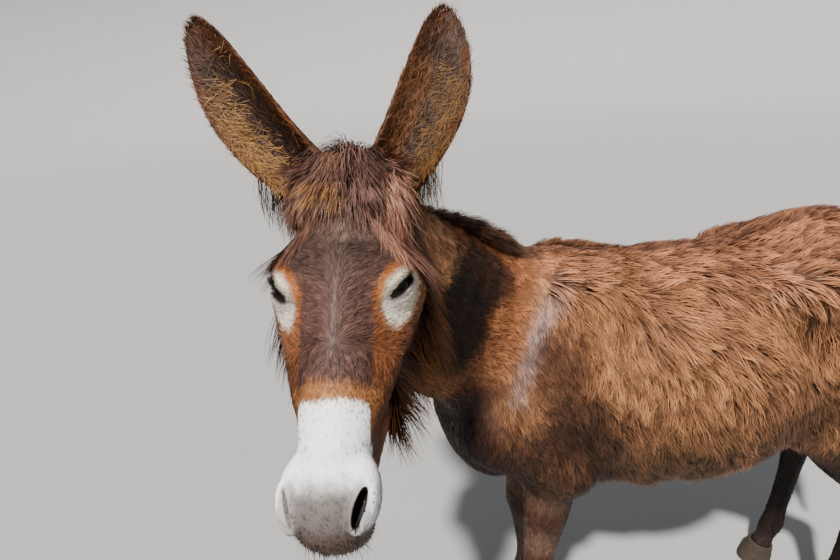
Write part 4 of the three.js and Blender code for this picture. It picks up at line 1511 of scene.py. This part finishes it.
# Rows of share of the height, forward of the ankle, half width, half length.
HOOF = fair([(1.05, 0, 32, 36), (1, 0, 34, 38), (0.62, 5, 37, 43), (0.25, 10, 40, 48),
             (0.05, 13, 41, 51), (0, 14, 40, 50)], 6)


def make_hooves():
    sides = 48
    a = np.arange(sides) * 2 * math.pi / sides
    for name, rows in LEG_ROWS.items():
        _, x0, y0, _, _ = rows[-1]
        rings = []
        for height, forward, width, length in HOOF:
            dy = -forward - length * np.cos(a)
            growth = 0.35 * math.sin(height * 46) * (height < 0.95)
            top = CORONET - 0.15 - CORONET_SLOPE * (dy + forward)
            rings.append(columns(x0 + (width + growth) * np.sin(a), y0 + dy - growth * np.cos(a),
                                 max(height, 0) * top))
        points, faces = closed_tube(np.stack(rings))
        piece = new_mesh(f"{name}_horn", points, faces.ravel(), np.full(len(faces), 3))
        finished(piece, hoof_horn())
        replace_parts(piece, f"{name}_hoof")


def seeded(number):
    return np.random.default_rng(SEED * 100 + number)


def amount(count, settings):
    return int(count * settings.density)


def make_trunk_coat(settings):
    body = skin()
    quarters = [("fore_left", True, True), ("fore_right", True, False),
                ("hind_left", False, True), ("hind_right", False, False)]
    for i, (name, fore, left) in enumerate(quarters):
        chosen = (body.part == TRUNK) & ((body.middle[:, 1] < MID_TRUNK) == fore)
        chosen = chosen & ((body.middle[:, 0] > 0) == left)
        rng = seeded(10 + i)
        lots = []
        for count, share, width, lift, gather in ((TRUNK_UNDER, 0.65, 3.4, 0.18, 0.3),
                                                  (TRUNK_OUTER, 1.08, 2.2, 0.55, 0.93)):
            roots = scatter(chosen, amount(count, settings), rng)
            length = settings.trunk_hair * 1000 * share * (1 + 0.2 * mottle(roots.at, 140, 21))
            # The coat is shorter and lies flatter on the shoulder.
            sleek = ramp(roots.at[:, 1], 70, -60) * ramp(roots.at[:, 2], 1130, 1060)
            length = length * (1 - 0.25 * ramp(roots.normal[:, 2], 0.5, 0.95)) * (1 - 0.5 * sleek)
            outer = count == TRUNK_OUTER
            # Painted shade: the under coat is darkened, as it lies in the shade of the outer coat
            if not outer:
                roots.shade(0.28 + 0.25 * sleek)
            lots.append(blades(
                roots, rng, length, width * (1 - 0.25 * sleek), lift * (1 - 0.45 * sleek),
                curl=0.12, sink=2, gather=gather * (1 - 0.55 * sleek), lock=12, wild=0.2,
                root_shade=0.08 + 0.15 * sleek, depth=0.76 - 0.22 * sleek,
                tip_share=1.0 if outer else 0.35, patchy=0.42 - 0.14 * sleek))
        coat_piece(f"coat_trunk_{name}", "body_coat", *lots)


def make_neck_coat(settings):
    rng = seeded(20)
    roots = scatter(skin().part == NECK, amount(NECK_TUFTS, settings), rng)
    length = settings.neck_hair * 1000 * (1 + 0.2 * mottle(roots.at, 90, 22))
    coat_piece("coat_neck", "body_coat",
               blades(roots, rng, length, 2.0, 0.28, curl=0.08, sink=1.5, gather=0.45, lock=14,
                      wild=0.16, root_shade=0.4))


def make_leg_coat(settings):
    for i, (name, legs) in enumerate({"fore": LEG_PARTS[:2], "hind": LEG_PARTS[2:]}.items()):
        rng = seeded(30 + i)
        roots = scatter(np.isin(skin().part, legs), amount(LEG_TUFTS, settings), rng)
        length = settings.leg_hair * 1000 * (1 + 0.7 * ramp(roots.at[:, 2], 480, 700))
        coat_piece(f"coat_{name}_legs", "leg_coat",
                   blades(roots, rng, length, 1.9, 0.17, curl=0.05, gather=0.35, wild=0.12))


def make_face_coat(settings):
    body = skin()
    q = mirrored(to_head(body.middle))
    clear = (eye_opening(q) > 2.2) & (nostril_slot(to_head(body.middle)) > 3.5)
    crowd = 1 - 0.7 * ramp(q[:, 1], WHITE_MUZZLE - 6, WHITE_MUZZLE + 30)
    lots = [("coat_face", clear & (q[:, 2] > -60), FACE_TUFTS),
            ("coat_cheeks", clear & (q[:, 2] <= -56), CHEEK_TUFTS)]
    for i, (name, chosen, count) in enumerate(lots):
        rng = seeded(40 + i)
        roots = scatter((body.part == HEAD) & chosen, amount(count, settings), rng, crowd)
        length = face_lengths(mirrored(to_head(roots.at)), settings.face_hair * 1000)
        pale = roots.mid.min(1) > 0.3
        coat_piece(name, "face_coat",
                   blades(roots, rng, length, 0.6 + 0.025 * length, 0.24, curl=0.08, sink=0.6,
                          gather=0.55, lock=11, wild=0.13, root_shade=0.35 + 0.5 * pale,
                          depth=0.5 - 0.4 * pale, patchy=0.24 - 0.2 * pale))


def face_lengths(q, base):
    """Hair length over the head: shortest at eyes and muzzle, shaggy on brow, poll and jaw."""
    _, s, o = q.T
    length = base + 16 * ramp(s, 170, 100)
    length = length + 14 * ramp(o, -70, -120) * ramp(s, 330, 240)
    length = length * (1 - 0.66 * ramp(s, WHITE_MUZZLE - 50, WHITE_MUZZLE + 10))
    near_eye = ramp(np.linalg.norm((q - np.array(EYE_PLACE)) * (1, 0.8, 1), axis=1), 46, 28)
    return length * (1 - 0.6 * near_eye * ramp(s, 165, 190))


def make_ear_coat(settings):
    body = skin()
    ears = body.part >= EAR_LEFT
    hollow = ears & body.inside
    rng = seeded(50)
    outer = scatter(ears & ~body.inside, amount(EAR_BACKS, settings), rng)
    lots = [blades(outer, rng, 15, 1.3, 0.2, curl=0.05, sink=0.4, gather=0.3, lock=8, wild=0.14,
                   root_shade=0.55, depth=0.35)]
    inner = scatter(hollow, amount(EAR_HOLLOWS, settings), rng)
    lots.append(blades(inner, rng, 16, 1.2, 0.3, curl=0.2, sink=0.4, wild=0.3))
    curls = scatter(hollow, amount(EAR_CURLS, settings), rng, ear_fringe(body.middle))
    for ear in EARS:
        _, along, opens, across, out = ear_frame(ear)
        curls.way[curls.part == ear] = unit(-0.75 * across * out - 0.55 * along + 0.5 * opens)
    curls.repaint("3d2510", "bd8a50")
    # Painted light and shade: the same blond fringe is darker on the left ear and lighter on the
    # right, as light falls on them
    curls.tip = curls.tip * np.where(curls.part == EAR_LEFT, 0.72, 1.6)[:, None]
    length = rng.uniform(14, 36, len(curls.at))
    lots.append(blades(curls, rng, length, 0.8, 0.5, droop=0.8, curl=0.5, spans=4, sink=0.4,
                       gather=0.6, lock=9, wild=0.35, depth=0.6))
    for ear, mid, tip in ((EAR_LEFT, "8a6435", "d2a766"), (EAR_RIGHT, "33221a", "5e4636")):
        root, along, _, across, out = ear_frame(ear)
        t, off = (body.middle - root) @ along / EAR_LENGTH, (body.middle - root) @ across * out
        chosen = (body.part == ear) & (off > 8) & (t > 0.0) & (t < 0.22)
        chosen = chosen & (body.inside | (ear == EAR_RIGHT))
        low = scatter(chosen, amount(EAR_STRANDS, settings), rng)
        low.way = np.tile(unit((0.12, -0.05, -1.0)), (len(low.at), 1))
        low.repaint(mid, tip)
        length = rng.uniform(35, 92, len(low.at))
        lots.append(hanging(low, rng, length, 1.1, 0.3))
    coat_piece("coat_ears", "ear_coat", *lots)


def ear_fringe(middle):
    """Where the long blond hair grows in the ears: along the outer half, and most near the root."""
    total = np.zeros(len(middle))
    for ear in EARS:
        root, along, _, across, out = ear_frame(ear)
        t = (middle - root) @ along / EAR_LENGTH
        off = (middle - root) @ across * out - 4 * EAR_BOW * t * (1 - t)
        total = np.maximum(total, ramp(off, -4, 34) * ramp(t, 0.84, 0.6) * ramp(t, 0.0, 0.12))
    return total + 0.02


MANE_LINE = [(18, -70, 1162), (42, -140, 1210), (80, -222, 1272), (122, -288, 1330),
             (168, -338, 1384), (216, -378, 1428), (256, -408, 1447)]


def make_mane(settings):
    body = skin()
    crest = [from_head((0, -6, 4))] + MANE_LINE[::-1]
    near = near_line(body.middle, crest)
    chosen = (near < 30) & np.isin(body.part, (NECK, TRUNK, HEAD))
    rng = seeded(60)
    roots = scatter(chosen, amount(MANE_TUFTS, settings), rng, ramp(near, 32, 8) + 0.02)
    roots.repaint("4a3026", "8a5f49")
    roots.way = flat_on(roots.way + (0.1, 0.5, 0), roots.normal)
    length = settings.mane_hair * 1000 * ramp(near_line(roots.at, crest), 44, 6)
    withers = ramp(np.linalg.norm(roots.at - np.array(MANE_LINE[0]), axis=1), 130, 20)
    lot = blades(roots, rng, np.maximum(length * (1 - 0.6 * withers), 14), 1.6,
                 0.95 - 0.6 * withers, droop=0.45, curl=0.15, spans=3, sink=2, gather=0.4,
                 wild=0.3)
    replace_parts(coat_piece("mane_hair", "long_hair", lot), "mane")


def head_lie(roots, way):
    """Lays the roots' hair a way given in the head's own frame."""
    roots.way = flat_on(turn_from_head(way), roots.normal)


def make_forelock(settings):
    """The forelock between the ears, and the shaggy crown below and beside it."""
    body = skin()
    x, s, o = to_head(body.middle).T
    rng = seeded(61)
    between_ears = (body.part == HEAD) & (np.abs(x) < 24) & (s > -34) & (s < 40) & (o > -40)
    crown = (body.part == HEAD) & (s > -20) & (s < 132) & (o > -80) & (np.abs(x) > 8)
    crown = crown & (np.abs(x) < 50 + 0.6 * s) & (s < 26 + 2.2 * np.abs(x))
    beside = 0.3 + ramp(np.abs(x), 20, 60)
    roots = scatter(between_ears, amount(FORELOCK_TUFTS, settings), rng)
    x, s, o = to_head(roots.at).T.astype(float)
    head_lie(roots, columns(0.016 * x, 1, 0))
    roots.repaint("51352f", "74544a")
    blond = (mottle(roots.at, 26, 31) > 0) & (rng.random(len(x)) < 0.55) & (x < 3) & (s > 2)
    roots.tip[blond] = linear("b07a3e")
    length = settings.forelock_hair * 1000 * rng.uniform(0.55, 1, len(x))
    tuft = ramp(np.abs(x), 20, 5) * ramp(s, 34, 4)
    lots = [blades(roots, rng, length, 1.5, 0.22 + 0.75 * tuft, droop=0.8, curl=0.1, spans=5,
                   gather=0.65, lock=18, wild=0.1, root_shade=0.7)]
    roots = scatter(crown, amount(CROWN_TUFTS, settings), rng, beside)
    x, s, o = to_head(roots.at).T.astype(float)
    head_lie(roots, columns(np.clip(x / 50, -1, 1) * (0.5 - 0.2 * ramp(s, 70, 20)), 0.95, 0.1))
    length = 52 * rng.uniform(0.6, 1.05, len(x))
    length = length * (1 + 0.6 * ramp(x, 26, 60) + 0.3 * ramp(-x, 26, 60))
    roots.repaint("5b3a30", "9c705e")
    # Painted light: crown hair on the head's left side is brightened, where the sun falls on it
    roots.shade(1 + 1.5 * ramp(x, 34, 62))
    lots.append(blades(roots, rng, length, 1.5, 0.34, droop=0.5, curl=0.1, spans=3, gather=0.6,
                       lock=16, wild=0.12, root_shade=0.35, depth=0.5))
    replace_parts(coat_piece("forelock_hair", "long_hair", *lots), "forelock")


def make_beard(settings):
    """Long hair on the jaw, the cheeks' hind edge and the throat."""
    body = skin()
    x, s, o = mirrored(to_head(body.middle)).T
    rng = seeded(63)
    jaw = (body.part == HEAD) & (o < -92) & (s > 90) & (s < 325)
    roots = scatter(jaw, amount(JAW_TUFTS, settings), rng, 0.35 + ramp(o, -120, -160))
    x, s, o = to_head(roots.at).T.astype(float)
    side = np.sign(x) * ramp(np.abs(x), 4, 24)
    below = ramp(o, -150, -190)
    head_lie(roots, columns(side * (0.85 - 0.7 * below), 0.55, -0.4 - 0.35 * below))
    roots.repaint("4a2a16", "9c6432")
    dark = ramp(o, -135, -185)
    roots.mid = mixed(roots.mid, linear("241712"), 0.8 * dark)
    roots.tip = mixed(roots.tip, linear("6e4d38"), 0.7 * dark)
    length = rng.uniform(40, 72, len(x))
    length = length * (0.75 + 0.5 * ramp(s, 130, 200) - 0.65 * ramp(s, 215, 290) * (x < 0))
    coat_piece("jaw_hair", "long_hair",
               blades(roots, rng, length, 1.5, 0.85, droop=0.3, curl=0.12, spans=3, gather=0.6,
                      lock=14, wild=0.2, depth=0.5))


def make_tail(settings):
    body = skin()
    rng = seeded(62)
    dock = scatter(body.part == TAIL, amount(DOCK_TUFTS, settings), rng)
    lots = [blades(dock, rng, 26, 1.9, 0.2, curl=0.1, gather=0.4, wild=0.2)]
    tuft = (body.part == TAIL) & (body.middle[:, 2] < TUFT_TOP)
    low = scatter(tuft, amount(TAIL_STRANDS, settings), rng)
    low.way = np.tile(unit((0.0, -0.03, -1.0)), (len(low.at), 1))
    low.repaint("2a1e18", "54402f")
    low.mid, low.tip = (v * rng.uniform(0.45, 1.5, len(v))[:, None] for v in (low.mid, low.tip))
    length = (low.at[:, 2] - TUFT_END) * rng.uniform(0.55, 0.98, len(low.at))
    lots.append(hanging(low, rng, length))
    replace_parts(coat_piece("tail_hair", "long_hair", *lots), "tail_tuft")


def make_lashes(settings):
    """Lashes along the upper lids."""
    rng = seeded(70)
    n = amount(LASHES, settings)
    at, way, normal = [], [], []
    for side in (1, -1):
        turned = (side, 1, 1)
        along = rng.uniform(-12, 21, n)
        back = -OPENING[1] * np.sqrt(np.clip(1 - ((along - OPENING_AT) / OPENING[0]) ** 2, 0, 1))
        out = np.sqrt(LID_RADIUS ** 2 - (along * 0.8) ** 2 - back ** 2) + 0.8
        local = (np.array(EYE_PLACE) + along[:, None] * EYE_SLIT + back[:, None] * EYE_BACK
                 + out[:, None] * EYE_OUT)
        lean = (EYE_OUT * 0.75 + EYE_BACK * 0.55 + EYE_SLIT * 0.25) * turned
        at.append(from_head(local * turned))
        way.append(np.tile(unit(turn_from_head(lean)), (n, 1)))
        normal.append(np.tile(unit(turn_from_head(-EYE_BACK * turned)), (n, 1)))
    roots = Roots.__new__(Roots)
    roots.at, roots.way, roots.normal = (np.concatenate(v) for v in (at, way, normal))
    roots.part, roots.inside = np.full(2 * n, HEAD), np.zeros(2 * n, bool)
    roots.repaint("1a1310", "2a201b")
    coat_piece("lashes", "face_coat",
               blades(roots, rng, 12, 0.9, 0.1, droop=-1.0, spans=3, sink=0, depth=0.1))


def make_whiskers(settings):
    """Stiff dark whiskers on the lips and chin, and short stubble between them."""
    body = skin()
    _, s, o = mirrored(to_head(body.middle)).T
    rng = seeded(71)
    lips = (body.part == HEAD) & (s > 430) & (o < -70 + 0.9 * (s - 470))
    lots = []
    for count, low, high, width in ((WHISKERS, 10, 26, 0.7), (STUBBLE, 3, 7, 0.9)):
        roots = scatter(lips & ((s > 478) | (o < -100)), amount(count, settings), rng)
        roots.way = flat_on(np.tile(unit((0.1, 0.0, -1.0)), (len(roots.at), 1)), roots.normal)
        roots.repaint("33271f", "8a7568")
        length = rng.uniform(low, high, len(roots.at))
        lots.append(blades(roots, rng, length, width, 0.8, droop=0.3, curl=0.15, spans=3,
                           sink=0.5, wild=0.35, depth=0.2))
    coat_piece("whiskers", "face_coat", *lots)


# ---------------------------------------------------------------- stage
def cove():
    """A floor that curves up far away into a round wall."""
    profile = [(0.0, 0.0), (4.0, 0.0), (12.0, 0.0)]
    profile += [(12 + 5 * math.sin(a), 5 - 5 * math.cos(a)) for a in
                np.linspace(0.1, math.pi / 2, 16)]
    profile.append((17.0, 9.0))
    sides = 96
    a = np.arange(sides) * 2 * math.pi / sides
    rings = len(profile) - 1
    points = np.concatenate([columns(r * np.cos(a), r * np.sin(a), z) for r, z in profile[1:]]
                            + [np.zeros((1, 3))])
    corners, counts = face_lists(turned_over(ring_net(rings, sides)),
                                 fan(rings * sides, 0, sides))
    return new_mesh("floor", points * 1000 - ROW_SHIFT, corners, counts)


def camera_frame():
    """The camera's own directions: right, up and back."""
    yaw, pitch, roll = (math.radians(v) for v in CAMERA_TURN)
    forward = np.array([math.cos(yaw) * math.cos(pitch), math.sin(yaw) * math.cos(pitch),
                        math.sin(pitch)])
    right = unit(np.cross(forward, (0, 0, 1)))
    up = np.cross(right, forward)
    turned = right * math.cos(roll) + up * math.sin(roll)
    return turned, up * math.cos(roll) - right * math.sin(roll), -forward


def make_stage(settings):
    scene = bpy.context.scene
    floor = cove()
    floor.data.materials.append(studio_floor())
    world = bpy.data.worlds.new("Soft studio light")
    world.use_nodes = True
    sky = world.node_tree.nodes["Background"]
    sky.inputs["Color"].default_value = (0.93, 0.96, 1.0, 1.0)
    sky.inputs["Strength"].default_value = settings.fill_light
    scene.world = world
    right, up, back = camera_frame()
    key = bpy.data.lights.new("key", "SUN")
    key.energy, key.color = settings.key_light, (1.0, 0.96, 0.9)
    key.angle = math.radians(SUN_SPREAD)
    lamp = bpy.data.objects.new("key", key)
    lamp.matrix_world = Vector(unit(SUN_FROM)).to_track_quat("Z", "Y").to_matrix().to_4x4()
    scene.collection.objects.link(lamp)
    camera = bpy.data.objects.new("camera", bpy.data.cameras.new("camera"))
    camera.data.lens, camera.data.sensor_width = CAMERA_LENS, CAMERA_SENSOR
    camera.data.clip_start, camera.data.clip_end = 0.05, 100
    place = in_metres(CAMERA_AT)
    camera.matrix_world = Matrix([[*(float(axis[i]) for axis in (right, up, back)),
                                   float(place[i])] for i in range(3)] + [[0, 0, 0, 1]])
    scene.collection.objects.link(camera)
    scene.camera = camera


# ---------------------------------------------------------------- operators
class DonkeyOperator:
    """What the operators share: each makes its pieces, and stops with an error if it made none."""

    bl_options = {"REGISTER", "UNDO"}

    def execute(self, context):
        before = set(bpy.data.objects)
        self.make(context)
        if set(bpy.data.objects) == before:
            raise RuntimeError(f"{self.bl_label}: nothing was made")
        return {"FINISHED"}


class DONKEY_OT_skin(DonkeyOperator, bpy.types.Operator):
    """Make the skin over the whole body"""

    bl_idname = "donkey.skin"
    bl_label = "Skin"

    def make(self, context):
        make_skin()


class DONKEY_OT_eyes(DonkeyOperator, bpy.types.Operator):
    """Make both eyes"""

    bl_idname = "donkey.eyes"
    bl_label = "Eyes"

    def make(self, context):
        make_eyes(context.scene.donkey_stage)


class DONKEY_OT_hooves(DonkeyOperator, bpy.types.Operator):
    """Make the four hooves"""

    bl_idname = "donkey.hooves"
    bl_label = "Hooves"

    def make(self, context):
        make_hooves()


class DONKEY_OT_body_coat(DonkeyOperator, bpy.types.Operator):
    """Grow the coat of trunk and neck"""

    bl_idname = "donkey.body_coat"
    bl_label = "Body coat"

    def make(self, context):
        make_trunk_coat(context.scene.donkey_coat)
        make_neck_coat(context.scene.donkey_coat)


class DONKEY_OT_leg_coat(DonkeyOperator, bpy.types.Operator):
    """Grow the coat of the legs"""

    bl_idname = "donkey.leg_coat"
    bl_label = "Leg coat"

    def make(self, context):
        make_leg_coat(context.scene.donkey_coat)


class DONKEY_OT_face_coat(DonkeyOperator, bpy.types.Operator):
    """Grow the coat of face and cheeks"""

    bl_idname = "donkey.face_coat"
    bl_label = "Face coat"

    def make(self, context):
        make_face_coat(context.scene.donkey_coat)


class DONKEY_OT_lashes(DonkeyOperator, bpy.types.Operator):
    """Grow the lashes and whiskers"""

    bl_idname = "donkey.lashes"
    bl_label = "Lashes and whiskers"

    def make(self, context):
        make_lashes(context.scene.donkey_coat)
        make_whiskers(context.scene.donkey_coat)


class DONKEY_OT_ear_coat(DonkeyOperator, bpy.types.Operator):
    """Grow the hair of the ears"""

    bl_idname = "donkey.ear_coat"
    bl_label = "Ear coat"

    def make(self, context):
        make_ear_coat(context.scene.donkey_coat)


class DONKEY_OT_long_hair(DonkeyOperator, bpy.types.Operator):
    """Grow mane, forelock, jaw hair and tail"""

    bl_idname = "donkey.long_hair"
    bl_label = "Long hair"

    def make(self, context):
        make_mane(context.scene.donkey_coat)
        make_forelock(context.scene.donkey_coat)
        make_beard(context.scene.donkey_coat)
        make_tail(context.scene.donkey_coat)


class DONKEY_OT_stage(DonkeyOperator, bpy.types.Operator):
    """Set up floor, lights and camera"""

    bl_idname = "donkey.stage"
    bl_label = "Stage"

    def make(self, context):
        make_stage(context.scene.donkey_stage)


OPERATORS = [DONKEY_OT_skin, DONKEY_OT_eyes, DONKEY_OT_hooves, DONKEY_OT_body_coat,
             DONKEY_OT_leg_coat, DONKEY_OT_face_coat, DONKEY_OT_lashes, DONKEY_OT_ear_coat,
             DONKEY_OT_long_hair, DONKEY_OT_stage]


class DONKEY_PT_panel(bpy.types.Panel):
    """The settings and the operators"""

    bl_label = "Standing donkey"
    bl_space_type = "VIEW_3D"
    bl_region_type = "UI"
    bl_category = "Donkey"

    def draw(self, context):
        for settings in (context.scene.donkey_coat, context.scene.donkey_stage):
            for name in settings.__annotations__:
                self.layout.prop(settings, name)
        for operator in OPERATORS:
            self.layout.operator(operator.bl_idname)


CLASSES = [DonkeyCoatSettings, DonkeyStageSettings, *OPERATORS, DONKEY_PT_panel]


def register():
    for one in CLASSES:
        bpy.utils.register_class(one)
    bpy.types.Scene.donkey_coat = bpy.props.PointerProperty(type=DonkeyCoatSettings)
    bpy.types.Scene.donkey_stage = bpy.props.PointerProperty(type=DonkeyStageSettings)


def unregister():
    del bpy.types.Scene.donkey_stage
    del bpy.types.Scene.donkey_coat
    for one in reversed(CLASSES):
        bpy.utils.unregister_class(one)


def main():
    register()
    for operator in OPERATORS:
        section, name = operator.bl_idname.split(".")
        getattr(getattr(bpy.ops, section), name)()


if __name__ == "__main__":
    main()
